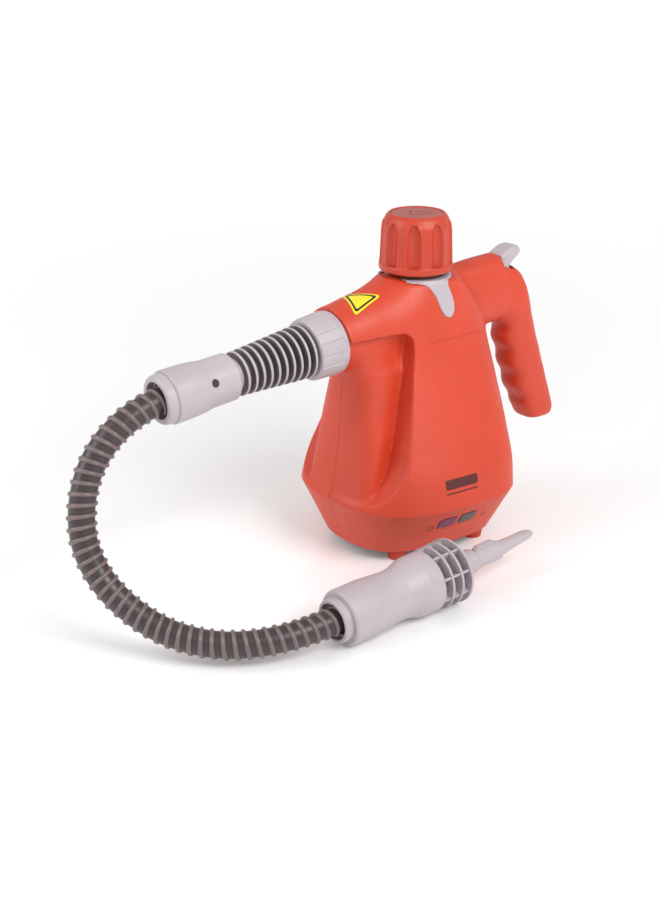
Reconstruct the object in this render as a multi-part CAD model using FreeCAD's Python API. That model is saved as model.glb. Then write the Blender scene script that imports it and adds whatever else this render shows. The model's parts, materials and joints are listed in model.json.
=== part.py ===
"""Hand-held wallpaper steamer: boiler housing, screw cap, trigger valve, hose with sleeve and wand.

Units are millimetres.  The model is drawn about the filler axis: that axis is X = 0, Y = 0, the
floor is Z = 0, the nozzle end looks to -X and the handle is on +X.  At the end every piece is moved
so that the middle of the footprint (hose left out) is the origin.
"""
import FreeCAD
import Part
import math
import os

V = FreeCAD.Vector

# ---------------------------------------------------------------- driving dimensions
WALL = 2.6                    # housing wall
WIDEST_X = 13.0               # X of the widest place of every body section
BASE_Z = 9.0                  # underside of the housing
CREASE_Z = 46.0               # widest line, where the skirt meets the upper body
TOP_Z = 200.0                 # flat top of the housing, under the trim ring
TRIM_R, TRIM_THICK = 26.4, 1.6   # trim ring under the cap

# Skirt sections, then upper body sections: height, front X, rear X, half width, exponent
SKIRT_SECTIONS = [(BASE_Z, -64.0, 52.0, 51.0, 2.8), (CREASE_Z, -79.0, 62.0, 72.0, 2.8)]
BODY_SECTIONS = [
    (CREASE_Z, -79.0, 62.0, 72.0, 2.8),
    (66.0, -75.0, 63.5, 68.0, 2.8),
    (90.0, -71.5, 63.0, 58.5, 2.8),
    (125.0, -69.0, 61.0, 44.0, 2.7),
    (150.0, -66.0, 58.0, 34.5, 2.6),
    (168.0, -58.0, 54.0, 30.0, 2.5),
    (186.0, -44.0, 43.0, 28.5, 2.3),
    (TOP_Z, -29.0, 27.5, 27.5, 2.1),
]

# Neck, which carries the hose sleeve
NECK_X, NECK_Z = -77.0, 165.0         # centre of the neck's end face
NECK_DROP = 4.7                       # degrees below level
HOOD_END_R = 24.5
HOOD_ROOT_X, HOOD_ROOT_Z = -22.0, 171.0
HOOD_ROOT_HALF_W, HOOD_ROOT_HALF_H = 28.2, 28.9
INNER_NECK_R = 20.0                   # the neck where the side recess bares it
NECK_BORE_R = 16.0

# Side recess between the front panel and each flank, as its edge in side view
RECESS_EDGE = [(-27.0, 157.0), (-31.0, 137.0), (-38.5, 112.0), (-44.5, 92.0), (-49.5, 77.0),
               (-56.0, 66.5), (-64.0, 57.0), (-75.0, 49.5)]
RECESS_TOP_Z = 169.5
RECESS_CORNER_R = 9.0
# Front panel, half width and height: where it meets the neck, at its shoulder, and below
PANEL_HALF_NECK, PANEL_HALF_TOP, PANEL_HALF_LOW = 15.0, 28.0, 34.0
PANEL_NECK_Z, PANEL_TOP_Z, PANEL_LOW_Z = 160.0, 141.0, 95.0

# Handle, open at its lower end, and the bridge that carries it
# Upright sections of the bridge: X, low Z, high Z, half width
BRIDGE_SECTIONS = [
    (25.0, 150.0, 198.5, 15.5),
    (56.0, 150.5, 202.2, 15.5),
    (77.3, 151.5, 203.2, 15.0),
]
# The same for the lower hump behind the trigger, which starts inside the bridge
HUMP_SECTIONS = [
    (60.0, 152.0, 195.8, 14.8),
    (79.0, 152.0, 196.6, 14.8),
    (90.0, 152.0, 193.2, 14.6),
    (99.0, 154.5, 187.5, 13.4),
    (104.5, 158.5, 178.0, 9.0),
]
# Level sections of the grip: Z, front X, rear X, half width
GRIP_SECTIONS = [
    (170.0, 90.5, 105.5, 11.0),
    (156.0, 84.0, 112.4, 14.0),
    (139.0, 84.8, 118.4, 14.4),
    (120.0, 90.6, 125.0, 14.5),
    (101.0, 97.6, 131.6, 14.5),
    (82.0, 106.4, 138.4, 14.2),
    (70.0, 112.4, 142.3, 13.4),
    (64.5, 115.5, 142.0, 11.0),
]
HANDLE_EXPONENT = 2.5

# Cap
CAP_R, CAP_LOW_Z, CAP_TOP_Z = 26.5, 204.7, 245.0
CAP_DISC_R, CAP_DISC_Z = 18.4, 242.4
FLUTES, FIRST_FLUTE = 9, -134.8          # grip flutes, and the angle of one of them
CAP_PRESS = 2.5
THREAD_R = 11.0
THREAD_FIT = 0.08
FILLER_R = 13.6               # outside of the filler neck below its flange
NECK_TOP_Z = 203.0

# Boiler
BOILER_X = -3.0
BOILER_R = 43.0
BOILER_WALL = 3.0
BOILER_LOW_Z, BOILER_SPLIT_Z, BOILER_SHOULDER_Z, BOILER_TOP_Z = 32.0, 70.0, 96.0, 132.0
FLANGE_R = 50.0
BOILER_BOLTS = 8
BOLT_CIRCLE_R = 46.5
STEAM_PORT_X = 17.4

# Trigger and steam valve
PIVOT_X, PIVOT_Z = 68.0, 195.5
PIN_END = 10.0                # the pivot pin's ends sit in blind holes of the two halves
VALVE_X = 83.0
INLET_YZ, OUTLET_YZ = (-3.4, 164.5), (3.4, 168.5)
SPIGOT_LEN = 14.0
PIPE_R = 2.4
TRIGGER_HALF_W, TRIGGER_ARM_HALF_W = 8.0, 5.0
TRIGGER_FRONT_X, SLOT_FRONT_X, SLOT_END_X = 78.2, 77.2, 92.0
STEM_R = 2.2
STEM_TOP_Z = 184.5

# Sleeve, lengths along the neck axis from the neck's end face
CONNECTOR_START, SEAL_AT = -34.0, 13.0
COLLAR_LEN, COLLAR_R = 23.0, 22.4
RIBS, RIB_PITCH, RIB_LEN = 10, 5.9, 2.7
RIB_FIRST_R, RIB_LAST_R = 19.1, 15.4
CUFF_START, CUFF_END = 86.0, 135.0
CUFF_RING_END = 142.0
CUFF_SCREW_AT, CUFF_SCREW_TURN = 106.0, 20.0
HOSE_START = 120.0
HOSE_R = 10.0
HOSE_HOLE_R = 12.4

# Wand, lengths along its axis from the rear ring
WAND_X, WAND_Y, WAND_TURN = -159.0, -106.4, 1.1
GRIP_R, WAIST_R, BELL_R = 19.3, 17.8, 21.3
GUARD_R, GUARD_END = 22.8, 105.0
GUARD_DISCS, GUARD_PITCH, GUARD_THICK = 3, 8.2, 1.7
GUARD_WEBS = 8
GRIP_REST, GRIP_END = 9.0, 81.0
WAND_HOSE_END = 20.0
TUBE_R, TUBE_END = 8.8, 126.0
NOZZLE_R, NOZZLE_TUBE_END, NOZZLE_TIP = 7.0, 149.0, 183.0

# Hose route between its two straight entries, set out by hand
HOSE_ROUTE = [(-237.5, 0.8, 147.0), (-255.0, 3.0, 134.5), (-268.5, 4.0, 116.5), (-277.0, 1.0, 95.5),
              (-280.5, -5.0, 73.5), (-277.0, -15.5, 52.5), (-268.0, -31.5, 35.0), (-254.5, -50.0, 21.5),
              (-238.0, -70.0, 15.0), (-219.0, -86.5, 13.5), (-196.0, -99.5, 15.5)]
HOSE_EXIT = 140.0             # straight out of the sleeve as far as this, along the neck axis
HOSE_ENTRY = -10.0            # straight into the wand from here, along its axis

# Feet: centre X and half spacing in Y
FOOT_ROWS = [(-40.0, 32.0), (29.0, 38.5)]
FOOT_R = 8.0

# Seam screws, X and Z; they are driven from the +Y side
SEAM_SCREWS = [(121.0, 82.0), (105.5, 136.0), (55.0, 62.0), (-57.5, 53.5), (46.0, 150.0), (-50.0, 190.0)]

# Lamp windows: X of the middle, and height of the middle
LENS_CENTRES = {"power_lens": -20.0, "ready_lens": -2.0}
LENS_Z, LENS_W, LENS_H = 33.5, 15.0, 9.0

GLAND_Z = 28.0
GLAND_BORE_R = 3.6

parts = {}


# ---------------------------------------------------------------- shape helpers
def box(x0, x1, y0, y1, z0, z1):
    return Part.makeBox(x1 - x0, y1 - y0, z1 - z0, V(x0, y0, z0))


def cylinder(radius, start, end):
    start, end = V(*start), V(*end)
    return Part.makeCylinder(radius, (end - start).Length, start, end - start)


def tube(outer_r, inner_r, start, end):
    return cylinder(outer_r, start, end).cut(cylinder(inner_r, start, end))


def turned(profile):
    """Solid of revolution about Z from a closed outline of (radius, height) points."""
    points = [V(r, 0, z) for r, z in profile]
    face = Part.Face(Part.makePolygon(points + [points[0]]))
    return face.revolve(V(0, 0, 0), V(0, 0, 1), 360)


def slab(outline, half_width):
    """An XZ outline drawn out to both sides of the middle plane."""
    points = [V(x, -half_width, z) for x, z in outline]
    face = Part.Face(Part.makePolygon(points + [points[0]]))
    return face.extrude(V(0, 2 * half_width, 0))


def fuse(shapes):
    return shapes[0].fuse(shapes[1:]) if len(shapes) > 1 else shapes[0]


def mirrored(shape):
    return shape.mirror(V(0, 0, 0), V(0, 1, 0))


def frame(origin, z_axis, x_hint):
    """Placement whose Z runs along z_axis and whose X points towards x_hint."""
    z_axis = V(*z_axis).normalize()
    x_axis = V(*x_hint) - z_axis * V(*x_hint).dot(z_axis)
    x_axis.normalize()
    return FreeCAD.Placement(V(*origin), FreeCAD.Rotation(x_axis, z_axis.cross(x_axis), z_axis, "ZXY"))


def placed(shape, placement):
    moved = shape.copy()
    moved.Placement = placement.multiply(moved.Placement)
    return moved


def signed_power(value, power):
    return math.copysign(abs(value) ** power, value)


def rounded_section(centre, first_axis, second_axis, halves, exponent, count=36):
    """Closed smooth superellipse; halves are its lengths along +first, -first and second axis."""
    points = []
    for i in range(count):
        angle = 2 * math.pi * i / count
        first = signed_power(math.cos(angle), 2 / exponent)
        second = halves[2] * signed_power(math.sin(angle), 2 / exponent)
        first *= halves[0] if first > 0 else halves[1]
        points.append(centre + first_axis * first + second_axis * second)
    curve = Part.BSplineCurve()
    curve.interpolate(Points=points, PeriodicFlag=True)
    return Part.Wire([curve.toShape()])


def body_section(z, front, rear, half, exponent, inset=0.0):
    halves = (rear - inset - WIDEST_X, WIDEST_X - front - inset, half - inset)
    return rounded_section(V(WIDEST_X, 0, z), V(1, 0, 0), V(0, 1, 0), halves, exponent)


def bent_rod(points, radius, report=None):
    """Round rod along straight runs joined by the largest tangent arcs that the runs allow."""
    points = [V(*p) for p in points]
    edges = []
    here = points[0]
    radii = []
    for i in range(1, len(points) - 1):
        before, after = points[i] - points[i - 1], points[i + 1] - points[i]
        half_turn = before.getAngle(after) / 2
        shorter = min(before.Length, after.Length)
        bend = 0.45 * shorter / math.tan(half_turn)
        radii.append(bend)
        cut = 0.45 * shorter
        before.normalize()
        after.normalize()
        start, end = points[i] - before * cut, points[i] + after * cut
        inward = (after - before).normalize()
        middle = points[i] + inward * (bend / math.cos(half_turn) - bend)
        edges.append(Part.LineSegment(here, start).toShape())
        edges.append(Part.Arc(start, middle, end).toShape())
        here = end
    edges.append(Part.LineSegment(here, points[-1]).toShape())
    path = Part.Wire(edges)
    section = Part.Wire([Part.makeCircle(radius, points[0], points[1] - points[0])])
    rod = path.makePipeShell([section], True, False)
    if report:
        ideal = math.pi * radius ** 2 * path.Length
        print(report, "length %.1f" % path.Length, "volume ratio %.4f" % (rod.Volume / ideal))
        print(report, "radii", [round(r, 1) for r in radii])
    return rod


def spring(radius, wire, low, high, turns):
    """Compression spring about Z between two heights."""
    helix = Part.makeHelix((high - low - 2 * wire) / turns, high - low - 2 * wire, radius)
    helix.translate(V(0, 0, low + wire))
    section = Part.Wire([Part.makeCircle(wire, V(radius, 0, low + wire), V(0, 1, 0))])
    return Part.Wire(helix.Edges).makePipeShell([section], True, True)


neck_frame = frame(
    (NECK_X, 0, NECK_Z),
    (-math.cos(math.radians(NECK_DROP)), 0, -math.sin(math.radians(NECK_DROP))),
    (0, 0, 1))

# The wand lies on the floor on the rear edge of its grip and the rear edge of its front disc
wand_pitch = math.atan((GUARD_R - GRIP_R) / (GUARD_END - GUARD_THICK - GRIP_REST))
wand_z = GRIP_R * math.cos(wand_pitch) - GRIP_REST * math.sin(wand_pitch)
wand_frame = frame(
    (WAND_X, WAND_Y, wand_z),
    (math.cos(math.radians(WAND_TURN)), math.sin(math.radians(WAND_TURN)), math.tan(wand_pitch)),
    (0, 0, 1))


# ---------------------------------------------------------------- housing
def body_solid(inset):
    """The housing's lofted body, or the space inside it when inset is the wall."""
    low, high = SKIRT_SECTIONS[0], BODY_SECTIONS[-1]
    skirt = Part.makeLoft([body_section(*s, inset=inset) for s in SKIRT_SECTIONS], True, True)
    upper = Part.makeLoft([body_section(*s, inset=inset) for s in BODY_SECTIONS], True, False)
    whole = skirt.fuse(upper)
    if inset:
        whole = whole.cut(box(-200, 200, -200, 200, high[0] - inset, high[0] + 50))
    return whole


def hood_solid(inset):
    end = Part.Wire([placed(Part.makeCircle(HOOD_END_R - inset), neck_frame)])
    ellipse = Part.Ellipse(V(0, 0, 0), HOOD_ROOT_HALF_H - inset, HOOD_ROOT_HALF_W - inset).toShape()
    root = Part.Wire([placed(ellipse, frame((HOOD_ROOT_X, 0, HOOD_ROOT_Z), (-1, 0, 0), (0, 0, 1)))])
    return Part.makeLoft([end, root], True, True)


def handle_solid(inset):
    """Bridge, hump and handle; with an inset, the hollow inside them."""
    last = -1 if inset else None
    front_x, low, high, half_width = BRIDGE_SECTIONS[-1]
    bridge_sections = BRIDGE_SECTIONS[:-1] + [(front_x - inset, low, high, half_width)]
    lofts = []
    for sections in (bridge_sections, HUMP_SECTIONS[:last]):
        wires = []
        for x, low, high, half_width in sections:
            half = (high - low) / 2 - inset
            wires.append(rounded_section(V(x, 0, (low + high) / 2), V(0, 0, 1), V(0, 1, 0),
                                         (half, half, half_width - inset), HANDLE_EXPONENT, 24))
        lofts.append(Part.makeLoft(wires, True, False))
    wires = []
    for z, front, rear, half_width in GRIP_SECTIONS[:last]:
        half = (rear - front) / 2 - inset
        wires.append(rounded_section(V((front + rear) / 2, 0, z), V(1, 0, 0), V(0, 1, 0),
                                     (half, half, half_width - inset), HANDLE_EXPONENT, 24))
    lofts.append(Part.makeLoft(wires, True, False))
    return fuse(lofts)


def panel_block(shrink):
    """The middle strip that stays standing as the front panel."""
    half_widths = [(PANEL_HALF_NECK, PANEL_NECK_Z), (PANEL_HALF_TOP, PANEL_TOP_Z),
                   (PANEL_HALF_LOW, PANEL_LOW_Z), (PANEL_HALF_LOW, 40)]
    outline = [V(-110, half - shrink, z) for half, z in half_widths]
    outline += [V(-110, shrink - half, z) for half, z in reversed(half_widths)]
    return Part.Face(Part.makePolygon(outline + [outline[0]])).extrude(V(110, 0, 0))


def recess_cutter(grow):
    """Material to take away beside the front panel and under the hood."""
    edge = [V(x + grow, 0, z) for x, z in RECESS_EDGE]
    top = RECESS_TOP_Z + grow
    curve = Part.BSplineCurve()
    curve.interpolate(Points=edge)
    corner = V(edge[0].x, 0, top)
    low = edge[-1].z - grow
    start = V(-110, 0, top)
    arc_start = V(corner.x - RECESS_CORNER_R, 0, top)
    arc_middle = corner - V(0.2929 * RECESS_CORNER_R, 0, 0.2929 * RECESS_CORNER_R)
    wire = Part.Wire([
        Part.makeLine(start, arc_start),
        Part.Arc(arc_start, arc_middle, edge[0]).toShape(),
        curve.toShape(),
        Part.makeLine(edge[-1], V(-110, 0, low)),
        Part.makeLine(V(-110, 0, low), start)])
    prism = Part.Face(wire).extrude(V(0, 200, 0))
    prism.translate(V(0, -100, 0))
    neck_core = placed(Part.makeCylinder(INNER_NECK_R - grow, 80, V(0, 0, -70)), neck_frame)
    return prism.cut([panel_block(grow), neck_core])


def housing():
    outer = fuse([body_solid(0), hood_solid(0), handle_solid(0)]).removeSplitter()
    outer = outer.cut(recess_cutter(0))
    inner = fuse([body_solid(WALL), hood_solid(WALL)]).cut(recess_cutter(WALL))
    inner = inner.fuse(handle_solid(WALL))
    neck_plug = placed(Part.makeCylinder(60, 30, V(0, 0, -4)), neck_frame)
    inner = inner.cut(neck_plug)
    shell = outer.cut(inner)

    openings = [
        box(-200, 200, -200, 200, -5, BASE_Z + 2.5).common(body_solid(WALL)),
        cylinder(19.5, (0, 0, TOP_Z - 20), (0, 0, TOP_Z + 20)),
        placed(Part.makeCylinder(NECK_BORE_R + 0.3, 30, V(0, 0, -20)), neck_frame),
        box(SLOT_FRONT_X, SLOT_END_X, -TRIGGER_HALF_W - 0.6, TRIGGER_HALF_W + 0.6, 177, 215),
        box(SLOT_FRONT_X - 4, SLOT_FRONT_X + 1, -TRIGGER_ARM_HALF_W - 0.6, TRIGGER_ARM_HALF_W + 0.6, 187, 198.2),
        cylinder(7.0, (45, 0, GLAND_Z), (75, 0, GLAND_Z)),
    ]
    for x in LENS_CENTRES.values():
        openings.append(lens_prism(x, 0.15))
    shell = shell.cut(openings)
    return outer, shell


def lens_prism(x, grow):
    """D-shaped window outline drawn out through the near wall of the skirt."""
    half_w, half_h = LENS_W / 2 + grow, LENS_H / 2 + grow
    block = box(x - half_w, x + half_w, -90, -45, LENS_Z - half_h, LENS_Z + half_h)
    upright = [e for e in block.Edges if abs(e.Vertexes[0].Z - e.Vertexes[-1].Z) < 1e-6
               and abs(e.Vertexes[0].X - e.Vertexes[-1].X) < 1e-6]
    return block.makeFillet(3.2, upright)


outer, shell = housing()

bosses, screw_holes, seam_screws = [], [], []
for x, z in SEAM_SCREWS:
    bosses.append(cylinder(4.2, (x, -70, z), (x, 70, z)).common(outer))
    far = max(v.Y for v in bosses[-1].Vertexes)
    head_y = min(8.0, far - 5.0)
    screw_holes.append(cylinder(1.6, (x, -8, z), (x, head_y + 1, z)))
    screw_holes.append(cylinder(3.4, (x, head_y, z), (x, 90, z)))
    seam_screws.append(cylinder(1.5, (x, -7.5, z), (x, head_y, z)).fuse(
        cylinder(3.1, (x, head_y, z), (x, head_y + 2.4, z))))
parts["seam_screws"] = Part.makeCompound(seam_screws)

base_screws, feet = [], []
for foot_x, foot_y in FOOT_ROWS:
    for side in (-1, 1):
        y = side * foot_y
        bosses.append(cylinder(4.5, (foot_x, y, BASE_Z + 2.5), (foot_x, y, 25)))
        web = box(foot_x - 1.5, foot_x + 1.5, min(y, side * 70), max(y, side * 70), BASE_Z + 2.5, 22)
        bosses.append(web.common(outer))
        screw_holes.append(cylinder(1.6, (foot_x, y, BASE_Z), (foot_x, y, 23)))
        base_screws.append(cylinder(1.5, (foot_x, y, BASE_Z), (foot_x, y, 22)).fuse(
            cylinder(3.4, (foot_x, y, BASE_Z - 2.4), (foot_x, y, BASE_Z))))
        foot = turned([(0, 0), (FOOT_R - 1.8, 0), (FOOT_R - 1.2, 0.6), (FOOT_R, BASE_Z), (0, BASE_Z)])
        foot = foot.cut(cylinder(3.8, (0, 0, BASE_Z - 3), (0, 0, BASE_Z)))
        foot.translate(V(foot_x, y, 0))
        feet.append(foot)
parts["base_screws"] = Part.makeCompound(base_screws)
parts["rubber_feet"] = Part.makeCompound(feet)

for side in (-1, 1):
    boss_start = side * (TRIGGER_ARM_HALF_W + 0.6)
    pin_boss = cylinder(3.4, (PIVOT_X, boss_start, PIVOT_Z), (PIVOT_X, side * 14, PIVOT_Z))
    bosses.append(pin_boss.common(outer))
    screw_holes.append(cylinder(
        1.55, (PIVOT_X, side * 5, PIVOT_Z), (PIVOT_X, side * (PIN_END + 0.1), PIVOT_Z)))

shell = shell.fuse(bosses).cut(screw_holes)
near_side = box(-200, 200, -200, 0, -10, 300)
far_side = box(-200, 200, 0, 200, -10, 300)


def largest_solid(shape):
    return max(shape.Solids, key=lambda solid: solid.Volume)


parts["housing_left"] = largest_solid(shell.common(near_side))
parts["housing_right"] = largest_solid(shell.common(far_side))

plate = body_solid(WALL + 0.15).common(box(-200, 200, -200, 200, BASE_Z, BASE_Z + 2.5))
vents = [box(x - 1.2, x + 1.2, -14, 14, BASE_Z - 1, BASE_Z + 4) for x in range(-24, 13, 6)]
plate_holes = []
for foot_x, foot_y in FOOT_ROWS:
    plate_holes.append(cylinder(1.7, (foot_x, -foot_y, 0), (foot_x, -foot_y, 20)))
    plate_holes.append(cylinder(1.7, (foot_x, foot_y, 0), (foot_x, foot_y, 20)))
plate = plate.cut(vents + plate_holes)
parts["base_plate"] = plate

for name, x in LENS_CENTRES.items():
    window = outer.common(lens_prism(x, 0.0)).cut(body_solid(WALL))
    parts[name] = largest_solid(window)
lamps = []
for x in LENS_CENTRES.values():
    lamps.append(cylinder(2.8, (x, -46, LENS_Z), (x, -55, LENS_Z)))
parts["indicator_lamps"] = Part.makeCompound(lamps)

parts["cord_gland"] = tube(6.8, GLAND_BORE_R, (50, 0, GLAND_Z), (61, 0, GLAND_Z))


# ---------------------------------------------------------------- trim ring under the cap
def collar_trim():
    ring = tube(TRIM_R, 20.0, (0, 0, TOP_Z), (0, 0, TOP_Z + TRIM_THICK))
    tongue = [V(-15, 0, TOP_Z), V(16, 0, TOP_Z), V(12.5, 0, 197), V(11.5, 0, 184), V(10.5, 0, 177),
              V(6.4, 0, 174), V(2.1, 0, 176), V(-1.5, 0, 181), V(-4.7, 0, 190), V(-8, 0, 196)]
    blade = Part.Face(Part.makePolygon(tongue + [tongue[0]])).extrude(V(0, -60, 0))
    skin = body_solid(-1.0).cut(body_solid(0))
    tongue_skin = blade.common(skin).common(box(-40, 40, -60, -5, 160, TOP_Z))
    near = largest_solid(tongue_skin)
    return ring.fuse([near, mirrored(near)])


parts["collar_trim"] = collar_trim()


# ---------------------------------------------------------------- boiler
def at_boiler(shape):
    moved = shape.copy()
    moved.translate(V(BOILER_X, 0, 0))
    return moved


inner_r = BOILER_R - BOILER_WALL
parts["boiler_lower"] = at_boiler(turned([
    (0, BOILER_LOW_Z), (BOILER_R - 5, BOILER_LOW_Z), (BOILER_R, BOILER_LOW_Z + 5),
    (BOILER_R, BOILER_SPLIT_Z - 4), (FLANGE_R, BOILER_SPLIT_Z - 4), (FLANGE_R, BOILER_SPLIT_Z - 0.6),
    (inner_r, BOILER_SPLIT_Z - 0.6), (inner_r, BOILER_LOW_Z + 6),
    (inner_r - 4, BOILER_LOW_Z + BOILER_WALL), (0, BOILER_LOW_Z + BOILER_WALL)]))
upper = turned([
    (FLANGE_R, BOILER_SPLIT_Z + 0.6), (FLANGE_R, BOILER_SPLIT_Z + 4), (BOILER_R, BOILER_SPLIT_Z + 4),
    (BOILER_R, BOILER_SHOULDER_Z - 18), (38, BOILER_SHOULDER_Z), (30, 120), (24, BOILER_TOP_Z),
    (0, BOILER_TOP_Z), (0, BOILER_TOP_Z - BOILER_WALL), (22, BOILER_TOP_Z - BOILER_WALL),
    (27, 119), (35, BOILER_SHOULDER_Z), (inner_r, BOILER_SHOULDER_Z - 18),
    (inner_r, BOILER_SPLIT_Z + 0.6)])
parts["boiler_gasket"] = at_boiler(tube(FLANGE_R, inner_r, (0, 0, BOILER_SPLIT_Z - 0.6),
                                        (0, 0, BOILER_SPLIT_Z + 0.6)))
bolts, bolt_holes = [], []
for i in range(BOILER_BOLTS):
    angle = 2 * math.pi * (i + 0.5) / BOILER_BOLTS
    x, y = BOILER_X + BOLT_CIRCLE_R * math.cos(angle), BOLT_CIRCLE_R * math.sin(angle)
    bolt_holes.append(cylinder(1.7, (x, y, 60), (x, y, 80)))
    bolts.append(cylinder(1.6, (x, y, BOILER_SPLIT_Z - 7), (x, y, BOILER_SPLIT_Z + 4)).fuse([
        cylinder(2.9, (x, y, BOILER_SPLIT_Z + 4), (x, y, BOILER_SPLIT_Z + 7)),
        cylinder(2.9, (x, y, BOILER_SPLIT_Z - 7), (x, y, BOILER_SPLIT_Z - 4))]))
parts["boiler_bolts"] = Part.makeCompound(bolts)
parts["boiler_gasket"] = parts["boiler_gasket"].cut(bolt_holes)
parts["boiler_lower"] = parts["boiler_lower"].cut(bolt_holes)
filler_bore = cylinder(FILLER_R, (0, 0, 120), (0, 0, BOILER_TOP_Z + 1))
steam_port = cylinder(1.6, (STEAM_PORT_X, 0, 120), (STEAM_PORT_X, 0, 140))
parts["boiler_upper"] = at_boiler(upper).cut(bolt_holes + [filler_bore, steam_port])
parts["filler_neck"] = turned([
    (THREAD_R, BOILER_TOP_Z - 4), (FILLER_R, BOILER_TOP_Z - 4), (FILLER_R, 192.0), (19.0, 193.5),
    (19.0, 196.0), (15.8, 197.5), (15.8, NECK_TOP_Z), (THREAD_R, NECK_TOP_Z)])
parts["heating_element"] = at_boiler(Part.makeTorus(29.0, 4.0, V(0, 0, BOILER_LOW_Z - 4.0)))
parts["thermostat"] = at_boiler(turned([
    (0, 22), (6, 22), (6, 25), (8.5, 25), (8.5, BOILER_LOW_Z), (0, BOILER_LOW_Z)]))
fuse_z = BOILER_LOW_Z - 2.8
parts["thermal_fuse"] = at_boiler(cylinder(2.8, (16.5, -9, fuse_z), (16.5, 9, fuse_z)))
parts["insulation_jacket"] = at_boiler(tube(
    46.5, BOILER_R + 0.1, (0, 0, BOILER_LOW_Z + 6), (0, 0, BOILER_SPLIT_Z - 7.5)))
parts["terminal_block"] = box(22, 36, -14, 14, BASE_Z + 2.5, 21).cut(
    [cylinder(1.8, (29, y, 10), (29, y, 30)) for y in (-9, 0, 9)])
clamp_x, clamp_low, clamp_high = 44.5, 17.0, 21.0
clamp = box(clamp_x - 3.5, clamp_x + 3.5, -9, 9, clamp_low, clamp_high)
clamp_cuts = [cylinder(3.4, (30, 0, clamp_low - 0.5), (60, 0, clamp_low - 0.5))]
clamp_posts, clamp_screws = [], []
for y in (-6.5, 6.5):
    clamp_cuts.append(cylinder(1.6, (clamp_x, y, 5), (clamp_x, y, 30)))
    clamp_posts.append(tube(2.4, 1.55, (clamp_x, y, BASE_Z + 2.5), (clamp_x, y, clamp_low)))
    clamp_screws.append(cylinder(1.5, (clamp_x, y, BASE_Z + 3), (clamp_x, y, clamp_high)).fuse(
        cylinder(2.6, (clamp_x, y, clamp_high), (clamp_x, y, clamp_high + 1.8))))
parts["cord_clamp"] = clamp.cut(clamp_cuts)
parts["clamp_posts"] = Part.makeCompound(clamp_posts)
parts["clamp_screws"] = Part.makeCompound(clamp_screws)


# ---------------------------------------------------------------- safety cap
def cap_shell():
    outside = [(CAP_R, CAP_LOW_Z), (CAP_R, CAP_LOW_Z + 2.6), (25.9, CAP_LOW_Z + 4.0), (25.6, 214),
               (24.7, 233), (23.9, 238), (22.0, 242.4), (19.9, CAP_TOP_Z), (19.0, CAP_TOP_Z),
               (CAP_DISC_R + 0.1, CAP_TOP_Z - 0.4), (CAP_DISC_R + 0.1, CAP_DISC_Z), (0, CAP_DISC_Z)]
    inside = [(0, 238.5), (19.0, 238.5), (21.3, 234), (22.6, 214), (22.6, CAP_LOW_Z)]
    shell_solid = turned(outside + inside)
    flutes = []
    for i in range(FLUTES):
        angle = math.radians(FIRST_FLUTE) + 2 * math.pi * i / FLUTES
        x, y = 28.6 * math.cos(angle), 28.6 * math.sin(angle)
        flutes.append(cylinder(5.2, (x, y, CAP_LOW_Z + 5.5), (x, y, 244)))
    return shell_solid.cut(flutes)


parts["cap_shell"] = cap_shell()
parts["cap_top_disc"] = cylinder(CAP_DISC_R, (0, 0, CAP_DISC_Z), (0, 0, CAP_TOP_Z - 0.5))
core_flange_z = NECK_TOP_Z + 2.2
core_r = THREAD_R - THREAD_FIT
parts["cap_core"] = turned([
    (2.5, 190), (core_r - 1, 190), (core_r, 191), (core_r, core_flange_z), (19.0, core_flange_z),
    (19.0, core_flange_z + 3), (9.0, core_flange_z + 3), (9.0, 216), (5.2, 216), (5.2, 196), (2.5, 196)])
parts["cap_gasket"] = tube(15.6, THREAD_R + 0.3, (0, 0, NECK_TOP_Z + 0.05), (0, 0, core_flange_z - 0.05))
parts["cap_spring"] = spring(13.0, 0.8, core_flange_z + 3.1, 238.4, 6)
parts["relief_plunger"] = turned([(0, 196.1), (5.1, 196.1), (5.1, 199.5), (1.6, 199.5), (1.6, 218), (0, 218)])
parts["relief_spring"] = spring(3.3, 0.5, 199.6, 215.9, 8)
parts["relief_retainer"] = tube(8.8, 1.7, (0, 0, 216), (0, 0, 218.4))


# ---------------------------------------------------------------- trigger and steam valve
def trigger():
    outline = [(TRIGGER_FRONT_X, 190.5), (TRIGGER_FRONT_X, 203.6), (82.0, 205.8), (88.5, 208.0),
               (94.0, 207.9), (99.0, 205.8), (102.0, 203.0), (101.8, 201.4), (98.5, 199.5),
               (92.5, 197.2), (88.0, 194.0), (88.0, 190.5),
               (85.5, STEM_TOP_Z + 0.3), (80.5, STEM_TOP_Z + 0.3)]
    solid = slab(outline, TRIGGER_HALF_W)
    upper_edges = [e for e in solid.Edges if abs(abs(e.CenterOfMass.y) - TRIGGER_HALF_W) < 1e-6
                   and e.CenterOfMass.z > 204.5]
    solid = solid.makeFillet(3.5, upper_edges)
    narrowing = [(TRIGGER_FRONT_X - 1, TRIGGER_HALF_W), (89.0, TRIGGER_HALF_W), (98.0, 6.6), (103.0, 3.6)]
    plan = [V(x, -y, 180) for x, y in narrowing] + [V(x, y, 180) for x, y in reversed(narrowing)]
    solid = solid.common(Part.Face(Part.makePolygon(plan + [plan[0]])).extrude(V(0, 0, 40)))
    arm = slab([(64.0, 191.0), (64.0, 195.6), (66.0, 197.2), (TRIGGER_FRONT_X + 1, 197.2),
                (TRIGGER_FRONT_X + 1, 190.5), (66.0, 190.5)], TRIGGER_ARM_HALF_W)
    return solid.fuse(arm).cut(cylinder(1.6, (PIVOT_X, -20, PIVOT_Z), (PIVOT_X, 20, PIVOT_Z)))


parts["trigger"] = trigger()
parts["trigger_pin"] = cylinder(1.5, (PIVOT_X, -PIN_END, PIVOT_Z), (PIVOT_X, PIN_END, PIVOT_Z))


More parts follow.
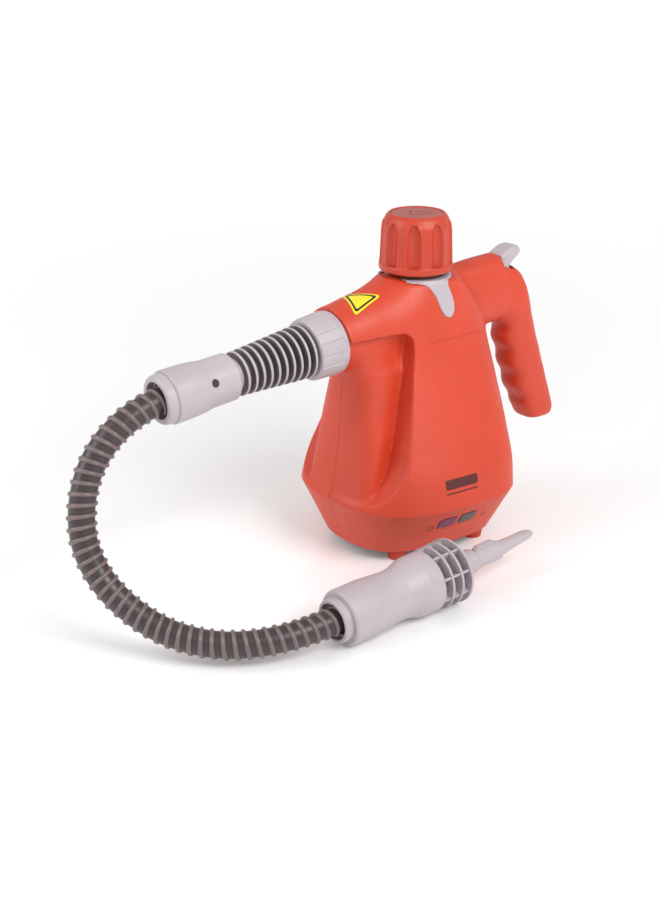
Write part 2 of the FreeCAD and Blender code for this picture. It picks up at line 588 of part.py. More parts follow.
def at_valve(shape):
    moved = shape.copy()
    moved.translate(V(VALVE_X, 0, 0))
    return moved


valve_body = turned([(0, 158.5), (8, 158.5), (8, 176), (STEM_R + 0.08, 176), (STEM_R + 0.08, 172),
                     (5, 172), (5, 161), (0, 161)])
chamber = cylinder(5, (0, 0, 161), (0, 0, 172))
spigots, bores = [], []
for y, z in (INLET_YZ, OUTLET_YZ):
    spigots.append(cylinder(2.6, (-SPIGOT_LEN, y, z), (-4.5, y, z)).cut(chamber))
    bores.append(cylinder(1.4, (-SPIGOT_LEN - 1, y, z), (0, y, z)))
parts["steam_valve_body"] = at_valve(valve_body.fuse(spigots).cut(bores))
parts["valve_stem"] = at_valve(turned([(0, 166), (STEM_R, 166), (STEM_R, 181.5), (4.4, 182.3),
                                       (4.4, STEM_TOP_Z), (0, STEM_TOP_Z)]))
parts["valve_seal"] = at_valve(turned([(0, 163.8), (4.5, 163.8), (4.5, 166), (0, 166)]))
parts["valve_spring"] = at_valve(spring(3.5, 0.5, 176.1, 181.8, 4))

# Steam pipes: from the boiler's top to the valve, and round the filler neck to the hose connector
pipe_x = VALVE_X - SPIGOT_LEN
parts["steam_feed_pipe"] = bent_rod([
    (STEAM_PORT_X, 0, BOILER_TOP_Z), (STEAM_PORT_X, 0, 147), (28, INLET_YZ[0], 160),
    (48, *INLET_YZ), (pipe_x, *INLET_YZ)], PIPE_R)
connector_end = neck_frame.multVec(V(0, 0, CONNECTOR_START))
before_connector = neck_frame.multVec(V(0, 0, CONNECTOR_START - 12))
parts["steam_outlet_pipe"] = bent_rod([
    (pipe_x, *OUTLET_YZ), (50, *OUTLET_YZ), (26, 20.5, 170), (-12, 20.5, 169.5),
    tuple(before_connector), tuple(connector_end)], PIPE_R)


# ---------------------------------------------------------------- hose sleeve on the neck
def on_neck(shape):
    return placed(shape, neck_frame)


parts["hose_connector"] = on_neck(turned([
    (2.6, CONNECTOR_START), (6, CONNECTOR_START), (6, -20), (13, -18), (13, -9), (17.2, -9), (17.2, -5.2),
    (15.9, -5.2), (15.9, 2), (13, 2), (13, 17), (5.5, 17), (5.5, -18), (2.6, -20)]).cut(
        tube(14, 11.4, (0, 0, SEAL_AT - 1.1), (0, 0, SEAL_AT + 1.1))))
seal = Part.makeTorus(12.4, 0.9, V(0, 0, SEAL_AT))
parts["connector_seal"] = on_neck(seal.fuse(tube(13.1, 12.2, (0, 0, SEAL_AT - 0.6), (0, 0, SEAL_AT + 0.6))))


def lock_collar():
    body = turned([
        (16.6, 0.4), (COLLAR_R, 0.4), (COLLAR_R, 6), (21.4, COLLAR_LEN - 1.5), (20.2, COLLAR_LEN),
        (15.6, COLLAR_LEN), (15.6, COLLAR_LEN - 3), (17.6, COLLAR_LEN - 3), (17.6, 4.0), (16.6, 4.0)])
    pads = []
    for i in range(8):
        pad = box(20.5, 22.9, -4.2, 4.2, 4.0, 20.5)
        pad.rotate(V(0, 0, 0), V(0, 0, 1), 45 * i + 12)
        pads.append(pad)
    return body.fuse(pads)


parts["lock_collar"] = on_neck(lock_collar())


def rib_sleeve():
    outline = [(13.4, 2.4), (14.6, 2.4), (14.6, 5.0), (17.2, 5.0), (17.2, 7.5), (15.3, 7.5),
               (15.3, COLLAR_LEN + 0.6)]
    for i in range(RIBS):
        share = i / (RIBS - 1)
        rib_r = RIB_FIRST_R + (RIB_LAST_R - RIB_FIRST_R) * share
        start = COLLAR_LEN + 1.5 + i * RIB_PITCH
        root_r = 12.6 - 1.4 * share
        outline += [(root_r, start), (rib_r - 0.7, start), (rib_r, start + 0.7),
                    (rib_r, start + RIB_LEN - 0.7), (rib_r - 0.7, start + RIB_LEN), (root_r, start + RIB_LEN)]
    outline += [(11.2, CUFF_START + 12), (8.2, CUFF_START + 12), (8.2, 26), (13.4, 20)]
    sleeve = turned(outline)
    webs = []
    for i in range(RIBS - 1):
        share = (i + 1) / (RIBS - 1)
        rib_r = RIB_FIRST_R + (RIB_LAST_R - RIB_FIRST_R) * share
        start = COLLAR_LEN + 1.5 + i * RIB_PITCH + RIB_LEN
        for side in (0, 180):
            web = box(11.5, rib_r - 0.8, -1.6, 1.6, start - 0.2, start + RIB_PITCH - RIB_LEN + 0.2)
            web.rotate(V(0, 0, 0), V(0, 0, 1), side + 45 + 90 * (i % 2))
            webs.append(web)
    return sleeve.fuse(webs)


parts["rib_sleeve"] = on_neck(rib_sleeve())

cuff = turned([
    (11.25, CUFF_START), (15.6, CUFF_START), (16.2, CUFF_START + 0.8), (16.4, 105), (17.6, 113), (18.2, 122),
    (18.3, CUFF_END - 0.8), (17.6, CUFF_END), (HOSE_R + 0.15, CUFF_END), (HOSE_R + 0.15, HOSE_START),
    (8.2, HOSE_START), (8.2, CUFF_START + 12), (11.25, CUFF_START + 12)])
screw_well = cylinder(2.9, (0, -30, CUFF_SCREW_AT), (0, -13.5, CUFF_SCREW_AT))
screw_hole = cylinder(1.25, (0, -16, CUFF_SCREW_AT), (0, -9, CUFF_SCREW_AT))
cuff_screw = cylinder(1.2, (0, -13.5, CUFF_SCREW_AT), (0, -9.2, CUFF_SCREW_AT)).fuse(
    cylinder(2.4, (0, -15.6, CUFF_SCREW_AT), (0, -13.5, CUFF_SCREW_AT)))
for shape in (screw_well, screw_hole, cuff_screw):
    shape.rotate(V(0, 0, 0), V(0, 0, 1), CUFF_SCREW_TURN)
parts["hose_cuff"] = on_neck(cuff.cut([screw_well, screw_hole]))
parts["cuff_screw"] = on_neck(cuff_screw)
parts["cuff_end_ring"] = on_neck(turned([
    (HOSE_R + 0.8, CUFF_END), (16.9, CUFF_END), (17.2, CUFF_END + 1.2), (16.6, CUFF_RING_END - 1.4),
    (15.4, CUFF_RING_END), (HOSE_HOLE_R + 0.4, CUFF_RING_END), (HOSE_HOLE_R, CUFF_RING_END - 0.6),
    (HOSE_HOLE_R, CUFF_END + 2), (HOSE_R + 0.8, CUFF_END + 2)]))


# ---------------------------------------------------------------- wand
def on_wand(shape):
    return placed(shape, wand_frame)


parts["wand_end_ring"] = on_wand(turned([
    (HOSE_HOLE_R + 0.3, 0), (14.2, 0), (15.1, 1.0), (15.1, 6.0), (HOSE_R + 0.15, 6.0), (HOSE_R + 0.15, 4.4),
    (HOSE_HOLE_R, 4.4), (HOSE_HOLE_R, 0.6)]))
grip_outside = [(18.0, 6.0), (19.0, 7.2), (GRIP_R, GRIP_REST), (GRIP_R, 28.0), (18.5, 38.0), (WAIST_R, 47.0),
                (WAIST_R, 54.0), (18.6, 59.0), (20.6, 65.5), (BELL_R, 69.0), (BELL_R, GRIP_END)]
grip_inside = [(BELL_R - 1.8, GRIP_END), (BELL_R - 1.8, 68.0), (9.2, 62.0), (9.2, 56.0), (6.0, 56.0),
               (6.0, WAND_HOSE_END), (HOSE_R + 0.15, WAND_HOSE_END), (HOSE_R + 0.15, 6.0)]
parts["wand_grip"] = on_wand(turned(grip_outside + grip_inside))


def wand_guard():
    pieces = [tube(11.6, 9.4, (0, 0, 64.5), (0, 0, GUARD_END))]
    for i in range(GUARD_DISCS):
        radius = GUARD_R - 0.4 * i
        high = GUARD_END - i * GUARD_PITCH
        pieces.append(tube(radius, 10.0, (0, 0, high - GUARD_THICK), (0, 0, high)))
    for i in range(GUARD_WEBS):
        web = box(10.5, GUARD_R - 1.6, -0.8, 0.8, GRIP_END + 0.4, GUARD_END - 0.4)
        web.rotate(V(0, 0, 0), V(0, 0, 1), 360 / GUARD_WEBS * (i + 0.5))
        pieces.append(web)
    pieces.append(tube(BELL_R - 1.9, 11.0, (0, 0, GRIP_END - 2.5), (0, 0, GRIP_END)))
    pieces.append(tube(BELL_R - 2.5, 11.0, (0, 0, GRIP_END - 0.1), (0, 0, GRIP_END + 0.5)))
    return fuse(pieces)


parts["wand_guard"] = on_wand(wand_guard())
parts["wand_tube"] = on_wand(turned([
    (2.5, 56.2), (9.0, 56.2), (9.0, 61.5), (8.8, 62.0), (TUBE_R, 104), (TUBE_R, TUBE_END - 2.5),
    (TUBE_R - 0.8, TUBE_END - 1.2), (TUBE_R - 1.2, TUBE_END), (5.3, TUBE_END), (5.3, 141), (2.5, 141)]))
parts["nozzle_seal"] = on_wand(tube(5.55, 4.7, (0, 0, 136.5), (0, 0, 138.5)))
parts["wand_tube"] = parts["wand_tube"].cut(on_wand(tube(7, 4.7, (0, 0, 136.5), (0, 0, 138.5))))


def jet_nozzle():
    barrel = turned([(5.6, TUBE_END + 0.3), (6.6, TUBE_END + 0.3), (NOZZLE_R, TUBE_END + 0.8),
                     (NOZZLE_R, NOZZLE_TUBE_END), (6.2, NOZZLE_TUBE_END + 1.5), (0, NOZZLE_TUBE_END + 1.5),
                     (0, 144), (5.6, 144)])
    sections = []
    for s, half_w, half_t in ((147.0, 5.6, 5.2), (158.0, 5.6, 4.4), (171.0, 5.4, 3.2), (180.0, 4.4, 2.4),
                              (NOZZLE_TIP, 3.0, 1.7)):
        ellipse = Part.Ellipse(V(0, 0, 0), half_w, half_t).toShape()
        ellipse.rotate(V(0, 0, 0), V(0, 0, 1), 90)
        ellipse.translate(V(0.06 * (s - 147.0), 0, s))
        sections.append(Part.Wire([ellipse]))
    blade = Part.makeLoft(sections, True, False)
    tab = box(5.6, 9.6, -1.8, 1.8, TUBE_END + 0.8, 144)
    tab = tab.cut(box(8.4, 12, -3, 3, TUBE_END, TUBE_END + 3))
    window = cylinder(1.5, (0, -12, 133), (0, 0, 133))
    window.rotate(V(0, 0, 0), V(0, 0, 1), -25)
    bore = cylinder(2.2, (0, 0, 143), (0, 0, 152))
    outlet = cylinder(1.5, (0.9, 0, 150), (2.2, 0, 190))
    return fuse([barrel, blade, tab]).cut([window, bore, outlet])


parts["jet_nozzle"] = on_wand(jet_nozzle())

# ---------------------------------------------------------------- hose
hose_start = neck_frame.multVec(V(0, 0, HOSE_START))
hose_exit = neck_frame.multVec(V(0, 0, HOSE_EXIT))
wand_entry = wand_frame.multVec(V(0, 0, HOSE_ENTRY))
wand_stop = wand_frame.multVec(V(0, 0, WAND_HOSE_END))
route = [tuple(hose_start), tuple(hose_exit)] + HOSE_ROUTE + [tuple(wand_entry), tuple(wand_stop)]
parts["hose"] = bent_rod(route, HOSE_R, report="hose")

# ---------------------------------------------------------------- move to the footprint's middle and write
footprint = FreeCAD.BoundBox()
for name, shape in parts.items():
    if name != "hose":
        footprint.add(shape.optimalBoundingBox(False))
offset = V(-footprint.Center.x, -footprint.Center.y, -footprint.ZMin)
size = (footprint.XLength, footprint.YLength, footprint.ZLength)
print("offset", [round(c, 3) for c in offset], "size", [round(c, 1) for c in size])
print("route", [tuple(round(c, 1) for c in V(*p) + offset) for p in route])

os.makedirs("parts", exist_ok=True)
for name, shape in sorted(parts.items()):
    moved = shape.copy()
    moved.translate(offset)
    moved.exportStep("parts/%s.step" % name)
    solids = moved.Solids
    valid = all(s.isValid() for s in solids)
    volume = sum(s.Volume for s in solids)
    print("%-20s solids %d  volume %9.1f  valid %s" % (name, len(solids), volume, valid))
print("nodes", len(parts))
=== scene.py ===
"""Looks of the hand-held wallpaper steamer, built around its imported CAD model.

Shapes are worked out in millimetres about the filler axis, as the CAD source draws them: that axis
is X = 0, Y = 0 and the floor is Z = 0.  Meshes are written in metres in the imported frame.
"""
import json
import math

import bmesh
import bpy
import numpy as np
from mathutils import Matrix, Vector


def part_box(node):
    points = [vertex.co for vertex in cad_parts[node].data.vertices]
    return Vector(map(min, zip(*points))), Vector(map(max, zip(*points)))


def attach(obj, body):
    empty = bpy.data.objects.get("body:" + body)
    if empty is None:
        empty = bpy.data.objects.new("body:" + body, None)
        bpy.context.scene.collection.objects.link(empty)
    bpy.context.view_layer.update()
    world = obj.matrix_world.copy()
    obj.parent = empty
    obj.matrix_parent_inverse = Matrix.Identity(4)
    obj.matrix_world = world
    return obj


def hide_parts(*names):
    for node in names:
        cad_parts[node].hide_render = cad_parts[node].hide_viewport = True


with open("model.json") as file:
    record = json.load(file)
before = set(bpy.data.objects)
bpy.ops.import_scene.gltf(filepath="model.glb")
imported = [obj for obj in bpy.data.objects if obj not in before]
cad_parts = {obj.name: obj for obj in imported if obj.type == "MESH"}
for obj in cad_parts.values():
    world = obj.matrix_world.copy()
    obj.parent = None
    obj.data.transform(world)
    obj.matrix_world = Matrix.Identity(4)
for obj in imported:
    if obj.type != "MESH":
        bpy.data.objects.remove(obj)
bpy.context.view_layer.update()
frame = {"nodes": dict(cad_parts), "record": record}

# ---------------------------------------------------------------- frame and shared dimensions
cap_low, cap_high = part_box("cap_top_disc")
SHIFT = np.array([500 * (cap_low[0] + cap_high[0]), 500 * (cap_low[1] + cap_high[1]), 0.0])

WALL = 2.6
WIDEST_X = 13.0
BASE_Z, CREASE_Z = 9.0, 46.0
NECK = np.array([-77.0, 0.0, 165.0])
NECK_DROP = math.radians(4.7)
NECK_OUT = np.array([-math.cos(NECK_DROP), 0.0, -math.sin(NECK_DROP)])
NECK_UP = np.array([-math.sin(NECK_DROP), 0.0, math.cos(NECK_DROP)])


def to_frame(points):
    """Drawing millimetres to packed-frame metres."""
    return (np.asarray(points, float) + SHIFT) / 1000


# ---------------------------------------------------------------- camera, lights, floor
camera_data = bpy.data.cameras.new("camera")
camera_data.sensor_width = 36.0
camera_data.lens = 57.6
camera_data.clip_start = 0.05
camera = bpy.data.objects.new("camera", camera_data)
bpy.context.scene.collection.objects.link(camera)
camera.location = to_frame([-664.4, -748.5, 474.0])
camera.rotation_euler = (math.radians(90 - 22.3), 0.0, math.radians(-38.1))
bpy.context.scene.camera = camera
bpy.context.scene.view_settings.view_transform = "Standard"


# ---------------------------------------------------------------- mesh helpers
def new_object(name, mesh):
    obj = bpy.data.objects.new(name, mesh)
    bpy.context.scene.collection.objects.link(obj)
    return obj


def mesh_object(name, points, faces, smooth_angle=None):
    """Object from drawing-frame points; edges sharper than smooth_angle degrees stay crisp."""
    mesh = bpy.data.meshes.new(name)
    mesh.from_pydata([tuple(p) for p in to_frame(points)], [], [tuple(f) for f in faces])
    mesh.update()
    mesh.shade_smooth()
    if smooth_angle:
        mesh.set_sharp_from_angle(angle=math.radians(smooth_angle))
    return new_object(name, mesh)


def smooth_min(a, b, k):
    h = np.maximum(k - np.abs(a - b), 0) / k
    return np.minimum(a, b) - h * h * k / 4


def smooth_max(a, b, k):
    return -smooth_min(-a, -b, k)


def smooth_curve(stations, values, at):
    """Monotone cubic through the stations, read at the given places."""
    x, y = np.asarray(stations, float), np.asarray(values, float)
    run = np.diff(x)
    slope = np.diff(y) / run
    tangent = np.zeros(len(x))
    tangent[0], tangent[-1] = slope[0], slope[-1]
    for i in range(1, len(x) - 1):
        if slope[i - 1] * slope[i] > 0:
            w0, w1 = 2 * run[i] + run[i - 1], run[i] + 2 * run[i - 1]
            tangent[i] = (w0 + w1) / (w0 / slope[i - 1] + w1 / slope[i])
    i = np.clip(np.searchsorted(x, at) - 1, 0, len(x) - 2)
    t = (np.clip(at, x[0], x[-1]) - x[i]) / run[i]
    a, b = y[i], y[i + 1]
    ta, tb = tangent[i] * run[i], tangent[i + 1] * run[i]
    return a + ta * t + (3 * (b - a) - 2 * ta - tb) * t ** 2 + (2 * (a - b) + ta + tb) * t ** 3


TABLE_STEP = 0.25


class Sweep:
    """Superellipse sections along one axis, as a near-distance field with rounded ends.

    Each station is (t, low u, high u, half v, exponent); u_middle gives the widest place if it isn't
    midway between low and high.
    """

    def __init__(self, stations, u_middle=None, straight_below=None, wave=None):
        rows = np.array(stations, float)
        self.t0, self.t1 = rows[0, 0], rows[-1, 0]
        self.t = np.arange(self.t0 - 12, self.t1 + 12, TABLE_STEP)
        columns = []
        for column in range(1, 5):
            value = smooth_curve(rows[:, 0], rows[:, column], self.t)
            if straight_below is not None:
                upper = rows[rows[:, 0] >= straight_below]
                value = np.where(self.t < straight_below, np.interp(self.t, rows[:, 0], rows[:, column]),
                                 smooth_curve(upper[:, 0], upper[:, column], self.t))
            columns.append(value)
        low, high, self.half, self.power = columns
        if wave:
            low = low + wave(self.t)
        self.middle = (low + high) / 2 if u_middle is None else np.full_like(low, u_middle)
        self.plus, self.minus = high - self.middle, self.middle - low
        self.rates = [np.gradient(c, self.t) for c in (self.middle, self.plus, self.minus, self.half)]

    def field(self, t, u, v, end_round):
        index = np.clip((t - self.t[0]) / TABLE_STEP, 0, len(self.t) - 1.001)
        base = index.astype(int)
        part = index - base

        def read(table):
            return table[base] * (1 - part) + table[base + 1] * part

        tables = (self.middle, self.plus, self.minus, self.half, self.power)
        middle, plus, minus, half, power = map(read, tables)
        middle_rate, plus_rate, minus_rate, half_rate = map(read, self.rates)
        du = u - middle
        reach = np.where(du > 0, plus, minus)
        reach_rate = np.where(du > 0, plus_rate, minus_rate)
        a = np.abs(du) / reach + 1e-9
        b = np.abs(v) / half + 1e-9
        a_power, b_power = a ** (power - 1), b ** (power - 1)
        total = a_power * a + b_power * b
        rho = total ** (1 / power)
        along = a_power * a * reach_rate / reach + b_power * b * half_rate / half
        along = along + a_power / reach * np.sign(du) * middle_rate
        steep = rho / total * np.sqrt((a_power / reach) ** 2 + (b_power / half) ** 2 + along ** 2)
        distance = np.clip((rho - 1) / np.maximum(steep, 1e-3), -60, 200)
        distance = smooth_max(distance, t - self.t1, end_round[1])
        return smooth_max(distance, self.t0 - t, end_round[0])


# Contouring, in grid steps: the block side, how near the surface a block counts, and a cell's reach
BLOCK, BLOCK_REACH, CELL_REACH, PROBE = 8, 1.5, 0.62, 0.06
PULL_TO_MEAN = 0.04


def contour(field, low, high, step):
    """Closed quad mesh of field = 0 by dual contouring, with creases kept: (points, faces)."""
    low = np.asarray(low, float)
    count = np.ceil((np.asarray(high) - low) / step).astype(int) + 1
    count = (np.ceil(count / BLOCK) * BLOCK).astype(int)

    def evaluate(points):
        return np.concatenate([field(chunk) for chunk in np.array_split(points, len(points) // 250000 + 1)])

    # Blocks far from the surface keep the value at their middle
    blocks = np.stack(np.meshgrid(*[np.arange(c // BLOCK) for c in count], indexing="ij"), -1).reshape(-1, 3)
    middles = low + (blocks + 0.5) * BLOCK * step
    rough = evaluate(middles)
    near = np.abs(rough) < BLOCK * step * BLOCK_REACH
    values = np.repeat(np.repeat(np.repeat(rough.reshape(count // BLOCK), BLOCK, 0), BLOCK, 1), BLOCK, 2)
    cell = np.stack(np.meshgrid(*[np.arange(BLOCK)] * 3, indexing="ij"), -1).reshape(-1, 3)
    grid = (blocks[near][:, None, :] * BLOCK + cell).reshape(-1, 3)
    values[grid[:, 0], grid[:, 1], grid[:, 2]] = evaluate(low + grid * step)
    inside = values < 0

    points, normals, cells, flips = [], [], [], []
    for axis in range(3):
        along = np.eye(3, dtype=int)[axis]
        side_a, side_b = np.roll(along, 1), np.roll(along, 2)
        here = tuple(slice(0, -1) if a == axis else slice(1, -1) for a in range(3))
        there = tuple(slice(1, None) if a == axis else slice(1, -1) for a in range(3))
        change = np.argwhere(inside[here] != inside[there]) + 1 - along
        after = change + along
        v0 = values[change[:, 0], change[:, 1], change[:, 2]]
        v1 = values[after[:, 0], after[:, 1], after[:, 2]]
        start = low + change * step
        lo_t, hi_t = np.zeros(len(v0)), np.ones(len(v0))
        f_lo, f_hi = v0.copy(), v1.copy()
        for _ in range(3):
            t = lo_t + (hi_t - lo_t) * np.clip(f_lo / (f_lo - f_hi), 0.02, 0.98)
            f = evaluate(start + (t * step)[:, None] * along)
            same = (f < 0) == (f_lo < 0)
            lo_t, f_lo = np.where(same, t, lo_t), np.where(same, f, f_lo)
            hi_t, f_hi = np.where(same, hi_t, t), np.where(same, f_hi, f)
        t = lo_t + (hi_t - lo_t) * np.clip(f_lo / (f_lo - f_hi), 0, 1)
        place = start + (t * step)[:, None] * along
        reach = PROBE * step
        normal = np.stack([evaluate(place + reach * e) - evaluate(place - reach * e) for e in np.eye(3)], -1)
        normal /= np.maximum(np.linalg.norm(normal, axis=1, keepdims=True), 1e-9)
        points.append(place)
        normals.append(normal)
        cells.append(np.stack([change - side_a - side_b, change - side_b, change, change - side_a], 1))
        flips.append(v0 > 0)
    points, normals = np.concatenate(points), np.concatenate(normals)
    cells, flips = np.concatenate(cells), np.concatenate(flips)
    keys = (cells[..., 0] * count[1] + cells[..., 1]) * count[2] + cells[..., 2]
    unique, index = np.unique(keys.reshape(-1), return_inverse=True)
    index = index.reshape(-1, 4)

    def gather(values_per_crossing):
        return np.bincount(index.reshape(-1), np.repeat(values_per_crossing, 4), len(unique))

    number = gather(np.ones(len(points)))
    mean = np.stack([gather(points[:, i]) for i in range(3)], -1) / number[:, None]
    matrix = np.empty((len(unique), 3, 3))
    offsets = (normals * points).sum(1)
    right = np.empty((len(unique), 3))
    for i in range(3):
        right[:, i] = gather(normals[:, i] * offsets)
        for j in range(3):
            matrix[:, i, j] = gather(normals[:, i] * normals[:, j])
    right -= np.einsum("nij,nj->ni", matrix, mean)
    matrix += PULL_TO_MEAN * np.eye(3)
    solved = mean + np.linalg.solve(matrix, right[..., None])[..., 0]
    corner = np.stack(np.unravel_index(unique, tuple(count)), -1)
    centre = low + (corner + 0.5) * step
    solved = np.clip(solved, centre - CELL_REACH * step, centre + CELL_REACH * step)
    faces = np.where(flips[:, None], index[:, ::-1], index)
    return solved, faces


# ---------------------------------------------------------------- housing
BODY_ENDS = (1.0, 3.0)
body_sweep = Sweep(
    [(9, -64, 52, 51, 2.8), (46, -79, 62, 72, 2.8), (66, -75, 63.5, 68, 2.8), (90, -71.5, 63, 58.5, 2.8),
     (125, -69, 61, 44, 2.7), (150, -66, 58, 34.5, 2.6), (168, -58, 54, 30, 2.5), (186, -44, 43, 28.5, 2.3),
     (200, -29, 27.5, 27.5, 2.1)], u_middle=WIDEST_X, straight_below=CREASE_Z)
bridge_sweep = Sweep(
    [(15, 150, 197, 15.5, 2.5), (56, 150.5, 202.2, 15.5, 2.5), (77.3, 151.5, 203.2, 15.0, 2.5)])
hump_sweep = Sweep(
    [(56, 152, 195.6, 14.8, 2.5), (79, 152, 196.6, 14.8, 2.5), (90, 152, 193.2, 14.6, 2.5),
     (99, 154.5, 187.5, 13.4, 2.5), (104.8, 158.5, 178, 9.5, 2.5)])


def finger_waves(z):
    """Shallow scallops for the fingers on the inner side of the grip."""
    fade = np.clip((z - 72) / 10, 0, 1) * np.clip((150 - z) / 8, 0, 1)
    return 1.1 * fade * np.cos(2 * math.pi * (z - 84) / 20.5)


grip_sweep = Sweep(
    [(64, 115.8, 141.6, 11.5, 2.8), (70, 112.4, 142.2, 13.4, 2.8), (82, 106.4, 138.4, 14.2, 2.8),
     (101, 97.6, 131.6, 14.5, 2.7), (120, 90.6, 125, 14.5, 2.6), (139, 84.8, 118.4, 14.4, 2.5),
     (156, 84, 112.4, 14, 2.5), (173, 91, 105, 10.5, 2.5)],
    wave=finger_waves)
HOOD_START = np.array([-77.0, 0.0, 165.0])
HOOD_SLOPE = math.atan2(6.0, 55.0)
HOOD_IN = np.array([math.cos(HOOD_SLOPE), 0.0, math.sin(HOOD_SLOPE)])
HOOD_UP = np.array([-math.sin(HOOD_SLOPE), 0.0, math.cos(HOOD_SLOPE)])
hood_sweep = Sweep([(-14, -24.5, 24.5, 24.5, 2), (0, -24.5, 24.5, 24.5, 2), (30, -26.6, 27.0, 26.6, 2),
                    (56, -28.9, 28.4, 28.2, 2), (84, -28, 25.0, 27.5, 2)])

RECESS_EDGE = [(-25.5, 171), (-25.8, 157), (-31, 137), (-38.5, 112), (-44.5, 92), (-49.5, 77), (-56, 66.5),
               (-64, 57), (-76, 48.5), (-86, 44)]
recess_z = np.arange(44, 172, 0.5)
recess_x = smooth_curve([z for _, z in RECESS_EDGE[::-1]], [x for x, _ in RECESS_EDGE[::-1]], recess_z)
recess_tilt = 1 / np.sqrt(1 + np.gradient(recess_x, recess_z) ** 2)


def neck_coordinates(p):
    q = p - NECK
    along = q @ NECK_OUT
    return along, np.sqrt(np.maximum((q ** 2).sum(1) - along ** 2, 0))


def core_field(p):
    """Inner body that shows in the hollows: the soft-cornered front panel and the bare neck."""
    x, y, z = p.T
    front = body_sweep.field(z, x, y, BODY_ENDS) + 1.7
    half_width = np.interp(z, [50, 95, 141, 160], [35, 34.5, 29, 16]) - 0.22 * np.clip(x + 66, -8, 30)
    panel = smooth_max(front, (np.abs(y) - half_width) * 0.97, 10.0)
    along, radius = neck_coordinates(p)
    return smooth_min(panel, radius - 20.0, 16.0)


def recess_field(p):
    """The hollow on each side between the front panel and the flank, under the hood."""
    x, y, z = p.T
    edge = (x - np.interp(z, recess_z, recess_x)) * np.interp(z, recess_z, recess_tilt)
    prism = smooth_max(edge, z - 169.5, 13.0)
    prism = smooth_max(prism, 47.6 - z, 5.0)
    cove = 1.4 + 3.5 * np.clip((58 - z) / 8, 0, 1)
    return smooth_max(prism, -core_field(p), cove)


def solid_field(p):
    """Outside surface of the whole housing."""
    x, y, z = p.T
    body = body_sweep.field(z, x, y, BODY_ENDS)
    q = p - HOOD_START
    hood = hood_sweep.field(q @ HOOD_IN, q @ HOOD_UP, y, (1.0, 14.0))
    along, radius = neck_coordinates(p)
    hood = smooth_max(hood, along, 1.2)
    bridge = bridge_sweep.field(x, z, y, (1.0, 1.6))
    hump = hump_sweep.field(x, z, y, (1.0, 8.0))
    grip = grip_sweep.field(z, x, y, (3.6, 8.0))
    field = smooth_min(body, hood, 9.0)
    handle = smooth_min(bridge, smooth_min(hump, grip, 10.0), 1.5)
    # A round arch over the finger gap, and a flatter blend under the cap, which travels down
    field = smooth_min(field, handle, np.interp(z, [165, 185], [12.0, 5.0]))
    return smooth_max(field, -recess_field(p), 1.4)


def cylinder_field(p, start, end, radius):
    start, end = np.array(start, float), np.array(end, float)
    axis = (end - start) / np.linalg.norm(end - start)
    q = p - start
    along = q @ axis
    around = np.sqrt(np.maximum((q ** 2).sum(1) - along ** 2, 0)) - radius
    return np.maximum(np.maximum(around, -along), along - np.linalg.norm(end - start))


def box_field(p, low, high):
    low, high = np.array(low, float), np.array(high, float)
    return (np.abs(p - (low + high) / 2) - (high - low) / 2).max(1)


def window_field(p, x, z, half_w, half_h, corner):
    """Rounded window seen along Y, through the near wall."""
    a = np.abs(p[:, 0] - x) - half_w + corner
    b = np.abs(p[:, 2] - z) - half_h + corner
    outside = np.sqrt(np.maximum(a, 0) ** 2 + np.maximum(b, 0) ** 2) + np.minimum(np.maximum(a, b), 0)
    return np.maximum(outside - corner, p[:, 1] + 40)


LENS_CENTRES, LENS_Z = {"power_lens": -20.0, "ready_lens": -2.0}, 33.5
SEAM_SCREWS = [(121, 82), (105.5, 136), (55, 62), (-57.5, 53.5), (46, 150), (-50, 190)]
SCREW_HEAD_Y, BOSS_R, WELL_R = 8.0, 4.6, 3.4
CAP_SEAT_R, NECK_BORE_R, GLAND_HOLE_R = 19.5, 16.3, 7.0
TRIGGER_SLOT = ((77.2, -8.6, 177), (92.0, 8.6, 215))
ARM_SLOT = ((73.2, -5.6, 187), (78.2, 5.6, 198.2))
SEAM_GAP = 0.12


def housing_field(p):
    x, y, z = p.T
    outer = solid_field(p)
    along, radius = neck_coordinates(p)
    hollow = np.maximum(outer + WALL, along + 4)
    field = np.maximum(outer, -hollow)
    for screw_x, screw_z in SEAM_SCREWS:
        boss = cylinder_field(p, (screw_x, -80, screw_z), (screw_x, 80, screw_z), BOSS_R)
        field = np.minimum(field, np.maximum(boss, outer + 0.4))
    for screw_x, screw_z in SEAM_SCREWS:
        well = cylinder_field(p, (screw_x, SCREW_HEAD_Y, screw_z), (screw_x, 90, screw_z), WELL_R)
        field = smooth_max(field, -well, 0.6)
    under = np.maximum(body_sweep.field(z, x, y, BODY_ENDS) + WALL, z - BASE_Z - 2.5)
    field = np.maximum(field, -under)
    field = np.maximum(field, BASE_Z - z)
    field = np.maximum(field, -cylinder_field(p, (0, 0, 178), (0, 0, 230), CAP_SEAT_R))
    field = smooth_max(field, -np.maximum(radius - NECK_BORE_R, -20 - along), 0.8)
    field = smooth_max(field, -box_field(p, *TRIGGER_SLOT), 0.9)
    field = np.maximum(field, -box_field(p, *ARM_SLOT))
    field = np.maximum(field, -cylinder_field(p, (45, 0, 28), (75, 0, 28), GLAND_HOLE_R))
    for lens_x in LENS_CENTRES.values():
        field = smooth_max(field, -window_field(p, lens_x, LENS_Z, 7.75, 4.85, 3.3), 0.5)
    return field


HOUSING_STEP = 1.3


